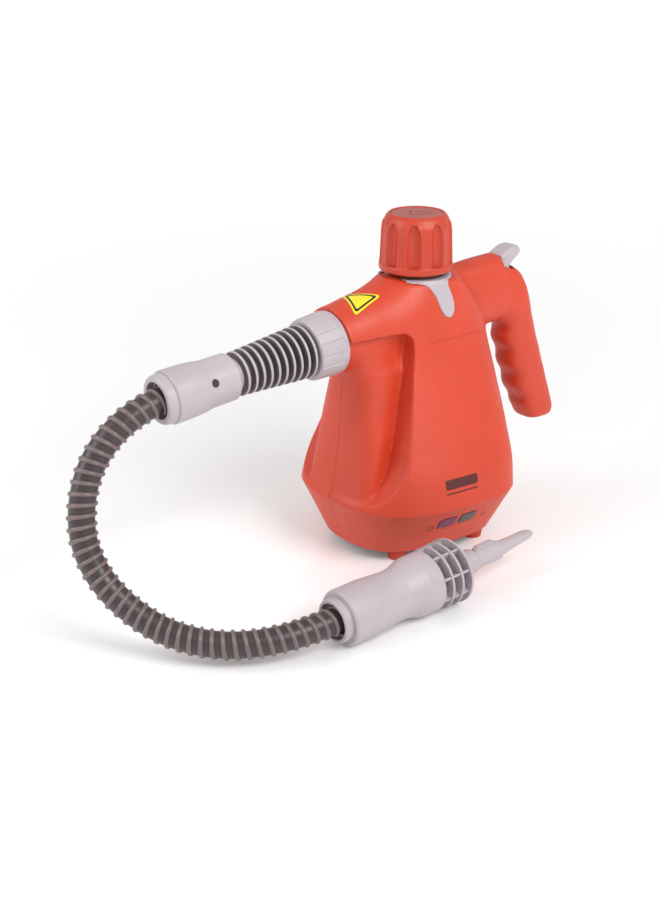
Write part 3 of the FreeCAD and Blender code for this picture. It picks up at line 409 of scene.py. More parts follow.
def housing_half(name, side, node):
    """One half of the housing, cut cleanly at the seam plane."""
    def half(p):
        return np.maximum(housing_field(p), SEAM_GAP - side * p[:, 1])

    low = np.array([-80.0, -73.5 if side < 0 else -1.5, 7.6])
    high = np.array([145.0, 1.5 if side < 0 else 73.5, 204.0])
    # The grid reaches a little past the seam plane, where the half is cut
    points, faces = contour(half, low - HOUSING_STEP, high + HOUSING_STEP, HOUSING_STEP)
    obj = mesh_object(name, points, faces, 38)
    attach(obj, "housing")
    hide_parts(node)
    return obj


def contour_object(name, field, low, high, step, smooth_angle=38):
    points, faces = contour(field, low, high, step)
    return mesh_object(name, points, faces, smooth_angle)


def rounded_profile(corners, radius, steps=3):
    """A closed (radius, height) outline with each corner rounded, as far as its edges allow."""
    corners = [np.array(c, float) for c in corners]
    outline = []
    for i, corner in enumerate(corners):
        before, after = corners[i - 1] - corner, corners[(i + 1) % len(corners)] - corner
        room = 0.45 * min(np.linalg.norm(before), np.linalg.norm(after))
        cut = min(radius, room)
        start = corner + before / np.linalg.norm(before) * cut
        end = corner + after / np.linalg.norm(after) * cut
        if corner[0] < 1e-6:
            outline.append(corner)
            continue
        for step in range(steps + 1):
            t = step / steps
            outline.append((1 - t) ** 2 * start + 2 * t * (1 - t) * corner + t * t * end)
    return np.array(outline)


def lathe(name, outline, origin=(0, 0, 0), axis=(0, 0, 1), up=(0, 0, 1), around=144, wave=None):
    """Solid of revolution of a closed outline; wave(radius, height, angle) may change each radius."""
    axis = np.array(axis, float) / np.linalg.norm(axis)
    first = np.array(up, float) - axis * np.dot(up, axis)
    if np.linalg.norm(first) < 1e-6:
        first = np.array([1.0, 0.0, 0.0])
    first /= np.linalg.norm(first)
    second = np.cross(axis, first)
    angle = 2 * math.pi * np.arange(around) / around
    points, rows = [], []
    for r, height in outline:
        if r < 1e-6:
            rows.append([len(points)] * around)
            points.append(np.array(origin) + axis * height)
            continue
        rows.append(list(range(len(points), len(points) + around)))
        radii = np.full(around, r) if wave is None else wave(r, height, angle)
        for a, rr in zip(angle, radii):
            spoke = math.cos(a) * first + math.sin(a) * second
            points.append(np.array(origin) + axis * height + rr * spoke)
    faces = []
    for i, row in enumerate(rows):
        following = rows[(i + 1) % len(rows)]
        for j in range(around):
            k = (j + 1) % around
            face = list(dict.fromkeys((row[j], row[k], following[k], following[j])))
            if len(face) > 2:
                faces.append(face)
    obj = mesh_object(name, points, faces, 40)
    work = bmesh.new()
    work.from_mesh(obj.data)
    bmesh.ops.recalc_face_normals(work, faces=work.faces)
    work.to_mesh(obj.data)
    work.free()
    return obj


def divided(outline, spacing, first_over, second_over):
    """The outline with its outer edges divided, so that a wave can shape them."""
    points = []
    for first, second in zip(outline, np.roll(outline, -1, 0)):
        outer = first[0] > first_over and second[0] > second_over
        count = max(1, int(np.linalg.norm(second - first) / spacing)) if outer else 1
        for step in range(count):
            points.append(first + (second - first) * step / count)
    return points


def polygon_field(a, b, outline):
    """Signed distance in a plane to a closed outline of (a, b) points."""
    outline = np.asarray(outline, float)
    nearest = np.full(len(a), 1e9)
    inside = np.zeros(len(a), bool)
    for (a0, b0), (a1, b1) in zip(outline, np.roll(outline, -1, 0)):
        da, db = a1 - a0, b1 - b0
        t = np.clip(((a - a0) * da + (b - b0) * db) / (da * da + db * db), 0, 1)
        nearest = np.minimum(nearest, np.hypot(a - a0 - t * da, b - b0 - t * db))
        crosses = (b0 > b) != (b1 > b)
        inside ^= crosses & (a < (b - b0) / (db if db else 1e-9) * da + a0)
    return np.where(inside, -nearest, nearest)


def soft_outline(corners, steps=6):
    """Closed smooth outline through the corners."""
    c = np.asarray(corners, float)
    p0, p1, p2, p3 = np.roll(c, 1, 0), c, np.roll(c, -1, 0), np.roll(c, -2, 0)
    rows = []
    for step in range(steps):
        t = step / steps
        rows.append(0.5 * (2 * p1 + (p2 - p0) * t + (2 * p0 - 5 * p1 + 4 * p2 - p3) * t ** 2
                           + (3 * p1 - p0 - 3 * p2 + p3) * t ** 3))
    return np.stack(rows, 1).reshape(-1, 2)


def surface_patch(name, centre, outline, inner=0.0, lift=0.1, turn=0.0, rings=14):
    """Thin skin pressed on the housing: the band between an outline and its inner share."""
    centre = np.array(centre, float)

    def grade(p):
        probes = 0.4 * np.eye(3)
        return np.array([(solid_field((p + e)[None]) - solid_field((p - e)[None]))[0] for e in probes])

    normal = grade(centre)
    normal /= np.linalg.norm(normal)
    across = np.cross([0, 0, 1.0], normal)
    across /= np.linalg.norm(across)
    upward = np.cross(normal, across)
    c, s = math.cos(turn), math.sin(turn)
    across, upward = c * across + s * upward, c * upward - s * across
    outline = np.asarray(outline, float)
    shares = np.linspace(inner, 1.0, rings)
    flat = (shares[:, None, None] * outline[None]).reshape(-1, 2)
    points = centre + normal * 8 + flat[:, :1] * across + flat[:, 1:] * upward
    for _ in range(60):
        points = points - normal * (solid_field(points) - lift)[:, None] * 0.8
    count = len(outline)
    faces = []
    for i in range(rings - 1):
        for j in range(count):
            k = (j + 1) % count
            faces.append((i * count + j, (i + 1) * count + j, (i + 1) * count + k, i * count + k))
    obj = mesh_object(name, points, faces)
    solid = obj.modifiers.new("thickness", "SOLIDIFY")
    solid.thickness = 0.00018
    solid.offset = -1.0
    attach(obj, "housing")
    return obj


# ---------------------------------------------------------------- materials
def principled(name, colour, roughness, **values):
    material = bpy.data.materials.new(name)
    material.use_nodes = True
    shader = material.node_tree.nodes["Principled BSDF"]
    shader.inputs["Base Color"].default_value = (*colour, 1.0)
    shader.inputs["Roughness"].default_value = roughness
    for key, value in values.items():
        shader.inputs[key.replace("_", " ")].default_value = value
    return material, material.node_tree, shader


def noise(tree, scale, detail=4.0, roughness=0.55, coordinates=None):
    node = tree.nodes.new("ShaderNodeTexNoise")
    node.inputs["Scale"].default_value = scale
    node.inputs["Detail"].default_value = detail
    node.inputs["Roughness"].default_value = roughness
    if coordinates:
        tree.links.new(coordinates, node.inputs["Vector"])
    return node


def ramp(tree, source, stops):
    node = tree.nodes.new("ShaderNodeValToRGB")
    elements = node.color_ramp.elements
    while len(elements) < len(stops):
        elements.new(0.5)
    for element, (place, colour) in zip(elements, stops):
        element.position = place
        element.color = (*colour, 1.0)
    tree.links.new(source, node.inputs["Fac"])
    return node.outputs["Color"]


def scaled(colour, factor):
    return tuple(min(1.0, c * factor) for c in colour)


def plastic(name, colour, roughness, grain=0.04, grain_scale=2600.0, mottle=0.05, **values):
    """Moulded plastic: spark-eroded grain, faint flow mottling and uneven gloss."""
    material, tree, shader = principled(name, colour, roughness, **values)
    where = tree.nodes.new("ShaderNodeTexCoord").outputs["Object"]
    broad = noise(tree, 22.0, 3.0, 0.5, where)
    tints = [(0.3, scaled(colour, 1 - mottle)), (0.7, scaled(colour, 1 + mottle))]
    tree.links.new(ramp(tree, broad.outputs["Fac"], tints), shader.inputs["Base Color"])
    fine = noise(tree, grain_scale, 2.0, 0.6, where)
    gloss = noise(tree, 60.0, 4.0, 0.6, where)
    spread = [(0.3, (roughness * 0.86,) * 3), (0.72, (min(1, roughness * 1.16),) * 3)]
    tree.links.new(ramp(tree, gloss.outputs["Fac"], spread), shader.inputs["Roughness"])
    bump = tree.nodes.new("ShaderNodeBump")
    bump.inputs["Strength"].default_value = grain
    bump.inputs["Distance"].default_value = 0.0002
    tree.links.new(fine.outputs["Fac"], bump.inputs["Height"])
    tree.links.new(bump.outputs["Normal"], shader.inputs["Normal"])
    return material


RED = (0.60, 0.052, 0.018)
GREY = (0.47, 0.415, 0.445)
red_plastic = plastic("red_plastic", RED, 0.46, 0.12, Specular_IOR_Level=0.5)
cap_red = plastic("cap_red", scaled(RED, 0.86), 0.42, 0.12)
seam_red = plastic("seam_red", scaled(RED, 0.72), 0.5, 0.0)
red_rubber = plastic("red_rubber", scaled(RED, 0.8), 0.6)
pink_plastic = plastic("pink_plastic", (0.36, 0.085, 0.07), 0.42)
grey_plastic = plastic("grey_plastic", GREY, 0.42, 0.15)
steel = plastic("zinc_steel", (0.55, 0.55, 0.56), 0.32, 0.1, 900, Metallic=1.0)
brass = plastic("brass", (0.72, 0.50, 0.20), 0.3, 0.1, 900, Metallic=1.0)
copper = plastic("copper", (0.75, 0.38, 0.24), 0.3, 0.1, 900, Metallic=1.0)
aluminium = plastic("cast_aluminium", (0.62, 0.62, 0.63), 0.42, 0.4, 1200, Metallic=1.0)
black_plastic = plastic("black_plastic", (0.022, 0.022, 0.024), 0.45)
black_rubber = plastic("black_rubber", (0.02, 0.02, 0.02), 0.7)
white_plastic = plastic("white_plastic", (0.80, 0.79, 0.75), 0.45)
seal_rubber = plastic("seal_rubber", (0.36, 0.06, 0.03), 0.55)
wool = plastic("glass_wool", (0.78, 0.75, 0.66), 0.95, 1.0, 700, 0.2)
violet_lens = plastic("violet_lens", (0.16, 0.010, 0.062), 0.3, 0.0)
smoke_lens = plastic("smoke_lens", (0.036, 0.042, 0.042), 0.3, 0.0)
lamp_glass = plastic("lamp_glass", (0.85, 0.55, 0.35), 0.1)
hose_rubber = plastic("hose_rubber", (0.052, 0.036, 0.040), 0.34, 0.02, 1500)
hose_rib = plastic("hose_rib", (0.17, 0.125, 0.122), 0.3, 0.02, 1500)
# Dark grey for the sleeve's fin walls and roots: painted shade in the gaps between the fins, the sleeve being
# one plastic
painted_gap_shade = plastic("painted_gap_shade", (0.12, 0.10, 0.11), 0.6)
# Dark metal for the cuff screw: painted shade of the hole it sits in, in place of its own steel colour
painted_hole_shade = plastic("painted_hole_shade", (0.045, 0.040, 0.042), 0.5, Metallic=0.6)

BY_SLOT = {
    "body_red": red_plastic, "cap_pink": pink_plastic, "body_red_rubber": red_rubber, "steel": steel,
    "trim_grey": grey_plastic, "lens_violet": violet_lens, "lens_smoke": smoke_lens, "lamp_glass": lamp_glass,
    "black_rubber": black_rubber, "black_plastic": black_plastic, "white_plastic": white_plastic,
    "aluminium": aluminium, "seal_rubber": seal_rubber, "brass": brass, "glass_wool": wool,
    "copper_pipe": copper, "hose_grey": hose_rubber}
for subpart in frame["record"]["subparts"]:
    node = frame["nodes"][subpart["node"]]
    material = BY_SLOT[subpart["material_slot"]]
    if not node.material_slots:
        node.data.materials.append(material)
    for material_slot in node.material_slots:
        # The cuff screw takes the dark metal: painted shade of its hole
        material_slot.material = painted_hole_shade if subpart["node"] == "cuff_screw" else material

housing_half("housing_near_half", -1, "housing_left").data.materials.append(red_plastic)
housing_half("housing_far_half", 1, "housing_right").data.materials.append(red_plastic)

# ---------------------------------------------------------------- cap
FLUTES, FIRST_FLUTE = 9, math.radians(-134.8)
CAP_LOW, CAP_TOP = 204.7, 245.0


def flute_wave(r, height, angle):
    """Finger flutes: flat at the foot, pointed at the top, with a slight lip round each."""
    if r < 20 or height < CAP_LOW + 5.2 or height > 240.5:
        return np.full(len(angle), float(r))
    offset = (angle - FIRST_FLUTE + math.pi / FLUTES) % (2 * math.pi / FLUTES) - math.pi / FLUTES
    across = np.abs(offset) * r
    half = 4.9 if height < 229 else 4.9 * math.sqrt(max(0.0, 1 - ((height - 229) / 11.5) ** 2))
    foot = min(1.0, (height - CAP_LOW - 5.2) / 0.5)
    if half < 0.2:
        return np.full(len(angle), float(r))
    bowl = np.sqrt(np.clip(1 - (across / half) ** 2, 0, 1))
    lip = 0.35 * np.exp(-((across - half - 0.8) / 0.7) ** 2)
    return r - foot * 3.5 * np.minimum(1.0, half / 4.9 + 0.1) * bowl ** 1.5 + foot * lip


cap_outside = rounded_profile(
    [(0, 242.4), (18.5, 242.4), (18.5, 244.6), (18.9, CAP_TOP), (19.9, CAP_TOP), (22.0, 242.8), (24.1, 238.2),
     (24.8, 233), (25.6, 214), (25.8, 210.4), (26.4, 209.2), (26.5, CAP_LOW + 1.2), (25.6, CAP_LOW),
     (22.6, CAP_LOW), (22.6, 214), (21.3, 234), (19, 238.5), (0, 238.5)], 0.7)
cap = lathe("cap_cover", divided(cap_outside, 0.55, 20, 23), around=FLUTES * 60, wave=flute_wave)
cap.data.materials.append(cap_red)
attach(cap, "cap_cover")
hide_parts("cap_shell")


def cap_disc_field(p):
    radius = np.hypot(p[:, 0], p[:, 1])
    disc = smooth_max(radius - 18.4, np.abs(p[:, 2] - 243.45) - 1.0, 0.5)
    flat = p[:, :2] @ np.array([[0.787, -0.617], [0.617, 0.787]]).T
    mark = np.abs(polygon_field(flat[:, 0], flat[:, 1], [(-4.5, -6.5), (12.0, 0), (-4.5, 6.5)])) - 0.55
    return smooth_max(disc, -np.maximum(mark, 243.7 - p[:, 2]), 0.25)


disc = contour_object("cap_disc", cap_disc_field, (-19, -19, 241.6), (19, 19, 245.2), 0.42)
disc.data.materials.append(pink_plastic)
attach(disc, "cap_cover")
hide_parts("cap_top_disc")

# ---------------------------------------------------------------- trigger
TRIGGER_SIDE = [
    (78.2, 190.5), (78.2, 202.2), (81, 203.8), (85, 205.9), (89, 207.4), (93.5, 208.0), (97.5, 206.8),
    (100.6, 204.6), (102, 202.6), (101.2, 200.9), (98, 199.2), (92.5, 197), (88, 193.6), (88, 190.5),
    (85.5, 184.8), (80.5, 184.8)]
ARM_SIDE = [(64, 191), (64, 195.6), (66, 197.2), (79.4, 197.2), (79.4, 190.5), (66, 190.5)]


def trigger_field(p):
    x, y, z = p.T
    half = np.interp(x, [78, 89, 96, 100, 102.5], [8.0, 7.9, 6.8, 5.2, 3.4])
    tongue = smooth_max(polygon_field(x, z, TRIGGER_SIDE), np.abs(y) - half, 3.6)
    arm = np.maximum(polygon_field(x, z, ARM_SIDE), np.abs(y) - 5.0)
    field = smooth_min(tongue, arm, 0.6)
    return np.maximum(field, -cylinder_field(p, (68, -20, 195.5), (68, 20, 195.5), 1.6))


trigger = contour_object("trigger_tongue", trigger_field, (62.5, -9.4, 183.5), (103.5, 9.4, 209.2), 0.55)
trigger.data.materials.append(grey_plastic)
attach(trigger, "trigger")
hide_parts("trigger")

# ---------------------------------------------------------------- trim under the cap
TONGUE = soft_outline([
    (-21, 203), (-21, 200.6), (-15.7, 199.8), (-11.8, 198.8), (-9.3, 197), (-7.1, 194), (-4.7, 189.5),
    (-1.6, 181), (2.1, 175.8), (6.4, 173.8), (10.2, 175.8), (11.6, 180.7), (10.2, 188), (7.6, 194),
    (6.2, 198.4), (6.6, 203)])
TRIM_TOP = 201.6


def trim_field(p):
    radius = np.hypot(p[:, 0], p[:, 1])
    outer = np.hypot((p[:, 0] - 1.0) / 22.6, (p[:, 1] + 1.5) / 24.7) * 23.6 - 23.6
    outside = smooth_max(outer, p[:, 2] - TRIM_TOP, 1.0)
    ring = smooth_max(outside, np.maximum(19.8 - radius, 199 - p[:, 2]), 0.4)
    skin = solid_field(p)
    tongue = smooth_max(polygon_field(p[:, 0], p[:, 2], TONGUE), skin - 1.0, 1.3)
    tongue = np.maximum(tongue, np.maximum(-skin - 0.6, 15 - np.abs(p[:, 1])))
    tongue = np.maximum(tongue, p[:, 2] - TRIM_TOP)
    return smooth_min(ring, tongue, 1.0)


trim = contour_object("cap_trim", trim_field, (-28, -33, 171), (28, 33, 203), 0.62)
trim.data.materials.append(grey_plastic)
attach(trim, "housing")
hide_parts("collar_trim")

# ---------------------------------------------------------------- lamp windows, marks and sticker
for name, lens_x in LENS_CENTRES.items():
    def lens_field(p, lens_x=lens_x):
        front = body_sweep.field(p[:, 2], p[:, 0], p[:, 1], BODY_ENDS)
        window = window_field(p, lens_x, LENS_Z, 7.5, 4.6, 3.1)
        return smooth_max(window, np.maximum(front - 0.35, -front - 2.2), 1.0)

    lens_slot = "lens_violet" if name == "power_lens" else "lens_smoke"
    low_corner, high_corner = (lens_x - 9, -72, 27.5), (lens_x + 9, -52, 39.5)
    lens = contour_object(name + "_window", lens_field, low_corner, high_corner, 0.5)
    lens.data.materials.append(BY_SLOT[lens_slot])
    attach(lens, "housing")
    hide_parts(name)

circle = [(math.cos(a), math.sin(a)) for a in np.linspace(0, 2 * math.pi, 48, endpoint=False)]


def subdivided(outline, spacing=0.8):
    """Closed outline with extra points, so that it can follow a curved surface."""
    outline = np.asarray(outline, float)
    points = []
    for start, end in zip(outline, np.roll(outline, -1, 0)):
        count = max(1, int(np.linalg.norm(end - start) / spacing))
        for step in range(count):
            points.append(start + (end - start) * step / count)
    return np.array(points)


def rounded_bar(half_w, half_h, corner):
    points = []
    for quarter, (sx, sy) in enumerate(((1, 1), (-1, 1), (-1, -1), (1, -1))):
        for step in range(7):
            a = math.pi / 2 * (quarter + step / 6)
            across = sx * (half_w - corner) + corner * math.cos(a)
            points.append((across, sy * (half_h - corner) + corner * math.sin(a)))
    return points


def rounded_triangle(size, corner=0.12):
    tips = [np.array([math.cos(math.radians(a)), math.sin(math.radians(a))]) for a in (90, 210, 330)]
    points = []
    for i in range(3):
        tip, before, after = tips[i], tips[i - 1], tips[(i + 1) % 3]
        start, end = tip + (before - tip) * corner, tip + (after - tip) * corner
        for t in np.linspace(0, 1, 6):
            points.append((1 - t) ** 2 * start + 2 * t * (1 - t) * tip + t * t * end)
        for t in np.linspace(0.1, 0.9, 9):
            nxt = after + (tip - after) * corner
            points.append(end + (nxt - end) * t)
    return np.array(points) * size


dark_ink = plastic("dark_ink", (0.09, 0.012, 0.010), 0.5, 0.0)
black_ink = plastic("black_ink", (0.012, 0.012, 0.012), 0.4, 0.0)
yellow_film = plastic("yellow_film", (0.86, 0.70, 0.02), 0.3, 0.02)
MARK_AT = (-10.9, -66.6, 64.2)
patches = [
    ("plain_mark_bar", MARK_AT, rounded_bar(14.2, 3.6, 1.6), 0.0, 0.08, dark_ink),
    ("plain_mark_line", (-11.4, -68.2, 57.9), rounded_bar(13.6, 0.55, 0.5), 0.0, 0.08, dark_ink),
    ("power_icon_ring", (-33.0, -59.0, 30.5), np.array(circle) * 3.1, 0.8, 0.08, dark_ink),
    ("power_icon_stroke", (-33.0, -59.0, 30.5), rounded_bar(0.35, 1.6, 0.3), 0.0, 0.08, dark_ink),
    ("ready_icon_ring", (15.2, -63.4, 30.7), np.array(circle) * 2.1, 0.72, 0.08, dark_ink)]
for name, centre, outline, inner, lift, ink in patches:
    patch = surface_patch(name, centre, subdivided(outline), inner, lift)
    patch.data.materials.append(ink)
for side, name in ((-1, "near_parting_line"), (1, "far_parting_line")):
    line_at = (13.0, side * 32.0, 158.7)
    patch = surface_patch(name, line_at, subdivided(rounded_bar(25.5, 0.28, 0.27)), 0.0, 0.05)
    patch.data.materials.append(seam_red)
STICKER_AT = (-57.5, -7.0, 195.5)
for name, size, inner, lift, ink in (("sticker_film", 15.2, 0.0, 0.10, yellow_film),
                                     ("sticker_border", 12.6, 0.80, 0.20, black_ink)):
    patch = surface_patch(name, STICKER_AT, subdivided(rounded_triangle(size * 1.08)), inner, lift,
                          turn=math.radians(172), rings=16)
    patch.data.materials.append(ink)

# ---------------------------------------------------------------- sleeve with cooling fins
COLLAR_LEN, FINS, FIN_PITCH, FIN_THICK = 23.0, 10, 5.9, 2.3
CUFF_START = 86.0
sleeve_outline = [(13.4, 2.4), (14.6, 2.4), (14.6, 5.0), (17.2, 5.0), (17.2, 7.5), (15.3, 7.5),
                  (15.3, COLLAR_LEN + 0.6)]
for i in range(FINS):
    share = i / (FINS - 1)
    fin_r, root_r = 19.1 - 3.7 * share, 12.2 - 1.2 * share
    fin_start = COLLAR_LEN + 2.1 + i * FIN_PITCH
    fin_end = fin_start + FIN_THICK
    sleeve_outline += [(root_r, fin_start), (fin_r, fin_start + 0.25), (fin_r, fin_end - 0.25),
                       (root_r, fin_end)]
sleeve_outline += [(11.0, CUFF_START + 12), (8.2, CUFF_START + 12), (8.2, 26), (13.4, 20)]
sleeve = lathe("finned_sleeve", rounded_profile(sleeve_outline, 0.55), NECK, NECK_OUT, NECK_UP, 96)
sleeve.data.materials.append(grey_plastic)
sleeve.data.materials.append(painted_gap_shade)
# Faces on the fin walls and roots, near the axis, take the dark material: painted shade between the fins
for polygon in sleeve.data.polygons:
    middle = (np.array(polygon.center) * 1000 - SHIFT) - NECK
    along = middle @ NECK_OUT
    off_axis = math.sqrt(max(0.0, middle @ middle - along * along))
    if COLLAR_LEN + 0.5 < along < CUFF_START + 1 and off_axis < 16.6 - 2.9 * (along - COLLAR_LEN) / 60:
        polygon.material_index = 1
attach(sleeve, "housing")
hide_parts("rib_sleeve")


def collar_wave(r, height, angle):
    """Eight flat finger pads, each with a fine groove round it."""
    if r < 19.6 or height < 1.5:
        return np.full(len(angle), float(r))
    offset = np.degrees((angle - math.radians(12) + math.pi / 8) % (math.pi / 4) - math.pi / 8)
    across = np.abs(np.radians(offset)) * r
    along = min(height - 3.4, COLLAR_LEN - 0.6 - height)
    inside = np.minimum(4.3 - across, along)
    raised = 0.38 * np.clip(inside / 0.35, 0, 1)
    groove = 0.30 * np.exp(-((inside + 0.25) / 0.3) ** 2)
    return r + raised - groove


collar_outline = rounded_profile(
    [(16.6, 0.4), (22.4, 0.4), (22.4, 6), (21.5, 22), (20.7, COLLAR_LEN), (15.6, COLLAR_LEN),
     (15.6, COLLAR_LEN - 3), (17.6, COLLAR_LEN - 3), (17.6, 4.0), (16.6, 4.0)], 0.6)
collar_outline = divided(collar_outline, 0.35, 20, 20)
collar = lathe("lock_collar_ring", collar_outline, NECK, NECK_OUT, NECK_UP, 288, collar_wave)
collar.data.materials.append(grey_plastic)
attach(collar, "lock_collar")
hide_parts("lock_collar")

# ---------------------------------------------------------------- hose
HOSE_ROUTE = [
    (-196.6, 0.0, 155.2), (-216.5, 0.0, 153.5), (-237.5, 0.8, 147.0), (-255.0, 3.0, 134.5),
    (-268.5, 4.0, 116.5), (-277.0, 1.0, 95.5), (-280.5, -5.0, 73.5), (-277.0, -15.5, 52.5),
    (-268.0, -31.5, 35.0), (-254.5, -50.0, 21.5), (-238.0, -70.0, 15.0), (-219.0, -86.5, 13.5),
    (-196.0, -99.5, 15.5), (-169.0, -106.6, 18.6), (-139.0, -106.0, 19.7)]
HOSE_LENGTH, HOSE_R = 0.3423, 10.0


def spline_points(name, route):
    """Points of the smooth line through a route, read back from its NURBS spline."""
    curve = bpy.data.curves.new(name, "CURVE")
    curve.dimensions = "3D"
    spline = curve.splines.new("NURBS")
    spline.points.add(len(route) - 1)
    for point, place in zip(spline.points, to_frame(route)):
        point.co = (*place, 1.0)
    spline.order_u = 3
    spline.use_endpoint_u = True
    spline.resolution_u = 24
    holder = new_object(name, curve)
    bpy.context.view_layer.update()
    mesh = bpy.data.meshes.new_from_object(holder)
    points = np.array([v.co for v in mesh.vertices])
    bpy.data.meshes.remove(mesh)
    bpy.data.objects.remove(holder)
    return points


def even_line(points, spacing):
    """The line resampled at an even spacing, with tangents and a frame that doesn't twist."""
    steps = np.r_[0, np.cumsum(np.linalg.norm(np.diff(points, axis=0), axis=1))]
    keep = np.r_[True, np.diff(steps) > 1e-9]
    steps, points = steps[keep], points[keep]
    at = np.linspace(0, steps[-1], int(steps[-1] / spacing) + 1)
    line = np.stack([np.interp(at, steps, points[:, i]) for i in range(3)], -1)
    tangent = np.gradient(line, axis=0)
    tangent /= np.linalg.norm(tangent, axis=1, keepdims=True)
    up = np.empty_like(line)
    current = np.array([0.0, 0.0, 1.0])
    for i, along in enumerate(tangent):
        current = current - along * (current @ along)
        current /= np.linalg.norm(current)
        up[i] = current
    return at, line, tangent, up


hose_path = spline_points("hose_line", HOSE_ROUTE)
at, line, tangent, up = even_line(hose_path, 0.0005)
side = np.cross(tangent, up)
AROUND, PITCH, RIB_HALF, RIB_HIGH = 80, 0.0071, 0.00150, 0.0014
RIB_ROWS, GAP_ROWS = 9, 3
TUBE_R, PLAIN_END, END_ROWS = HOSE_R / 1000 - RIB_HIGH, 0.012, 5
share = np.arange(AROUND) / AROUND
angle = 2 * math.pi * share


def hose_rings(place, radius):
    """Points round the hose's line, one ring a row, at the places along it and the radii given."""
    def along_line(table):
        return np.stack([np.interp(place, at, table[:, i]) for i in range(3)], -1)

    outward = np.cos(angle)[None, :, None] * along_line(up)
    outward = outward + np.sin(angle)[None, :, None] * along_line(side)
    return (along_line(line) + radius * outward).reshape(-1, 3)


def ribbed_part():
    """Rows of points that follow the helical rib, a half-round cord wound on a smooth tube."""
    rib_turns = np.linspace(-math.pi / 2, math.pi / 2, RIB_ROWS)
    gap = np.linspace(RIB_HALF, PITCH - RIB_HALF, GAP_ROWS + 2)[1:-1]
    across = np.r_[RIB_HALF * np.sin(rib_turns), gap]
    height = np.r_[RIB_HIGH * np.cos(rib_turns), np.zeros(GAP_ROWS)]
    per_turn, turns = len(across), int(at[-1] / PITCH - 1.2)
    start = np.concatenate([turn * PITCH + RIB_HALF + across for turn in range(turns)])
    radius = TUBE_R + np.tile(height, turns)
    points = [tuple(p) for p in hose_rings(start[:, None] + share[None, :] * PITCH, radius[:, None, None])]
    rows = len(start)
    quads, shades = [], []
    for i in range(rows - 1):
        for j in range(AROUND):
            near = (i * AROUND + j, (i + 1) * AROUND + j)
            far = (near[0] + 1, near[1] + 1)
            if j == AROUND - 1:
                # The last column meets the first one a turn further on
                if i + 1 + per_turn >= rows:
                    continue
                far = ((i + per_turn) * AROUND, (i + 1 + per_turn) * AROUND)
            quads.append((near[0], far[0], far[1], near[1]))
            shades.append(1 if i % per_turn < RIB_ROWS - 1 else 0)
    last = rows - 1
    first_rim = list(range(AROUND)) + [i * AROUND for i in range(per_turn, 0, -1)]
    last_rim = [last * AROUND + j for j in range(AROUND)]
    last_rim += [i * AROUND + AROUND - 1 for i in range(last - 1, last - per_turn - 1, -1)]
    for rim, flip in ((first_rim, True), (last_rim, False)):
        middle = len(points)
        points.append(tuple(np.mean([points[k] for k in rim], axis=0)))
        for k, following in zip(rim, rim[1:] + rim[:1]):
            quads.append((middle, following, k) if flip else (middle, k, following))
            shades.append(0)
    return points, quads, shades


def plain_end(low_end, high_end, first):
    """A smooth capped length of tube, whose points are numbered from first."""
    place = np.repeat(np.linspace(low_end, high_end, END_ROWS)[:, None], AROUND, 1)
    tube = [tuple(p) for p in hose_rings(place, TUBE_R - 0.0001)]
    faces = []
    for i in range(END_ROWS - 1):
        for j in range(AROUND):
            k = (j + 1) % AROUND
            a, b = first + i * AROUND, first + (i + 1) * AROUND
            faces.append((a + j, a + k, b + k, b + j))
    faces.append(tuple(first + j for j in reversed(range(AROUND))))
    faces.append(tuple(first + (END_ROWS - 1) * AROUND + j for j in range(AROUND)))
    return tube, faces


points, quads, shades = ribbed_part()
# The plain ends lie inside the sleeve and the wand
for low_end, high_end in ((0.0, PLAIN_END), (at[-1] - PLAIN_END, at[-1])):
    tube, faces = plain_end(low_end, high_end, len(points))
    points += tube
    quads += faces
    shades += [0] * len(faces)
mesh = bpy.data.meshes.new("ribbed_hose")
mesh.from_pydata(points, [], quads)
mesh.update()
mesh.shade_smooth()
mesh.set_sharp_from_angle(angle=math.radians(60))
mesh.materials.append(hose_rubber)
mesh.materials.append(hose_rib)
mesh.polygons.foreach_set("material_index", shades)
hose = new_object("ribbed_hose", mesh)
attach(hose, "housing")
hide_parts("hose")

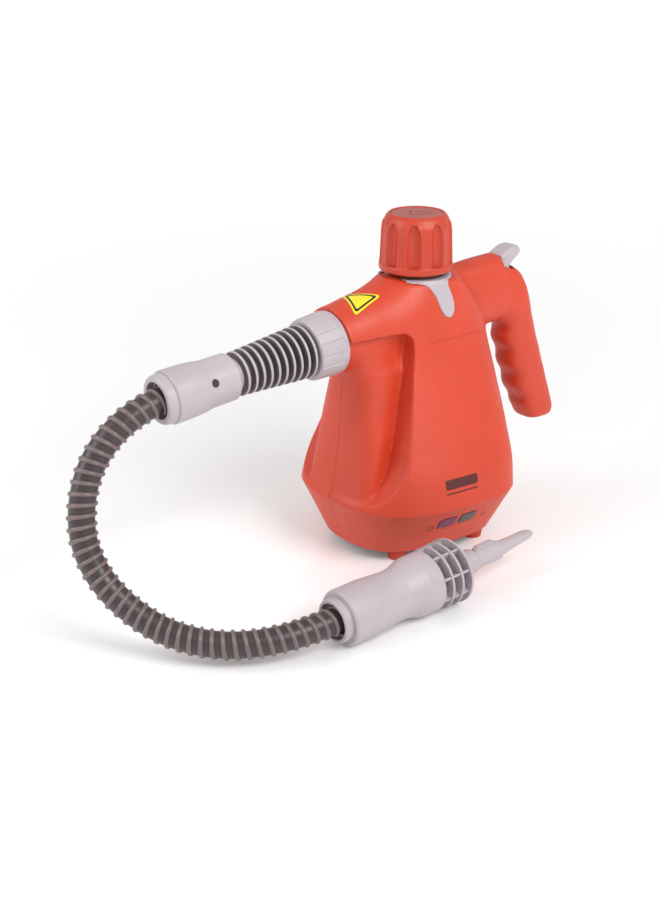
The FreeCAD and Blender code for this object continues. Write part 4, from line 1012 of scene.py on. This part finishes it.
# ---------------------------------------------------------------- floor and light
bpy.ops.mesh.primitive_plane_add(size=12, location=(0, 0, 0))
floor = bpy.context.object
floor.name = "floor"
floor_material, floor_tree, floor_shader = principled("floor_paper", (0.93, 0.93, 0.93), 0.22,
                                                      Emission_Color=(1, 1, 1, 1))
# The paper glows more away from the object, so that the far floor is as white as the near one
distance = floor_tree.nodes.new("ShaderNodeVectorMath")
distance.operation = "LENGTH"
floor_tree.links.new(floor_tree.nodes.new("ShaderNodeTexCoord").outputs["Object"], distance.inputs[0])
glow = floor_tree.nodes.new("ShaderNodeMapRange")
glow.inputs["From Min"].default_value = 0.35
glow.inputs["From Max"].default_value = 2.0
glow.inputs["To Min"].default_value = 0.08
glow.inputs["To Max"].default_value = 0.60
floor_tree.links.new(distance.outputs["Value"], glow.inputs["Value"])
floor_tree.links.new(glow.outputs["Result"], floor_shader.inputs["Emission Strength"])
floor.data.materials.append(floor_material)

world = bpy.data.worlds.new("studio")
bpy.context.scene.world = world
world.use_nodes = True
background = world.node_tree.nodes["Background"]
background.inputs["Color"].default_value = (1.0, 1.0, 1.0, 1.0)
# The studio wall is white to look at and lights the object more softly
seen = world.node_tree.nodes.new("ShaderNodeMapRange")
seen.inputs["To Min"].default_value = 0.60
seen.inputs["To Max"].default_value = 1.0
ray = world.node_tree.nodes.new("ShaderNodeLightPath")
world.node_tree.links.new(ray.outputs["Is Camera Ray"], seen.inputs["Value"])
world.node_tree.links.new(seen.outputs["Result"], background.inputs["Strength"])


def softbox(name, place, target, size, power):
    data = bpy.data.lights.new(name, "AREA")
    data.shape = "RECTANGLE"
    data.size, data.size_y = size
    data.energy = power
    lamp = bpy.data.objects.new(name, data)
    bpy.context.scene.collection.objects.link(lamp)
    lamp.location = place
    lamp.rotation_euler = (Vector(target) - Vector(place)).to_track_quat("-Z", "Y").to_euler()


softbox("key_softbox", (0.1, -1.1, 1.1), (0, 0, 0.1), (0.9, 0.7), 15.0)
softbox("left_softbox", (-1.1, 0.45, 0.75), (0, 0, 0.1), (0.8, 0.9), 7.0)

bpy.context.view_layer.update()
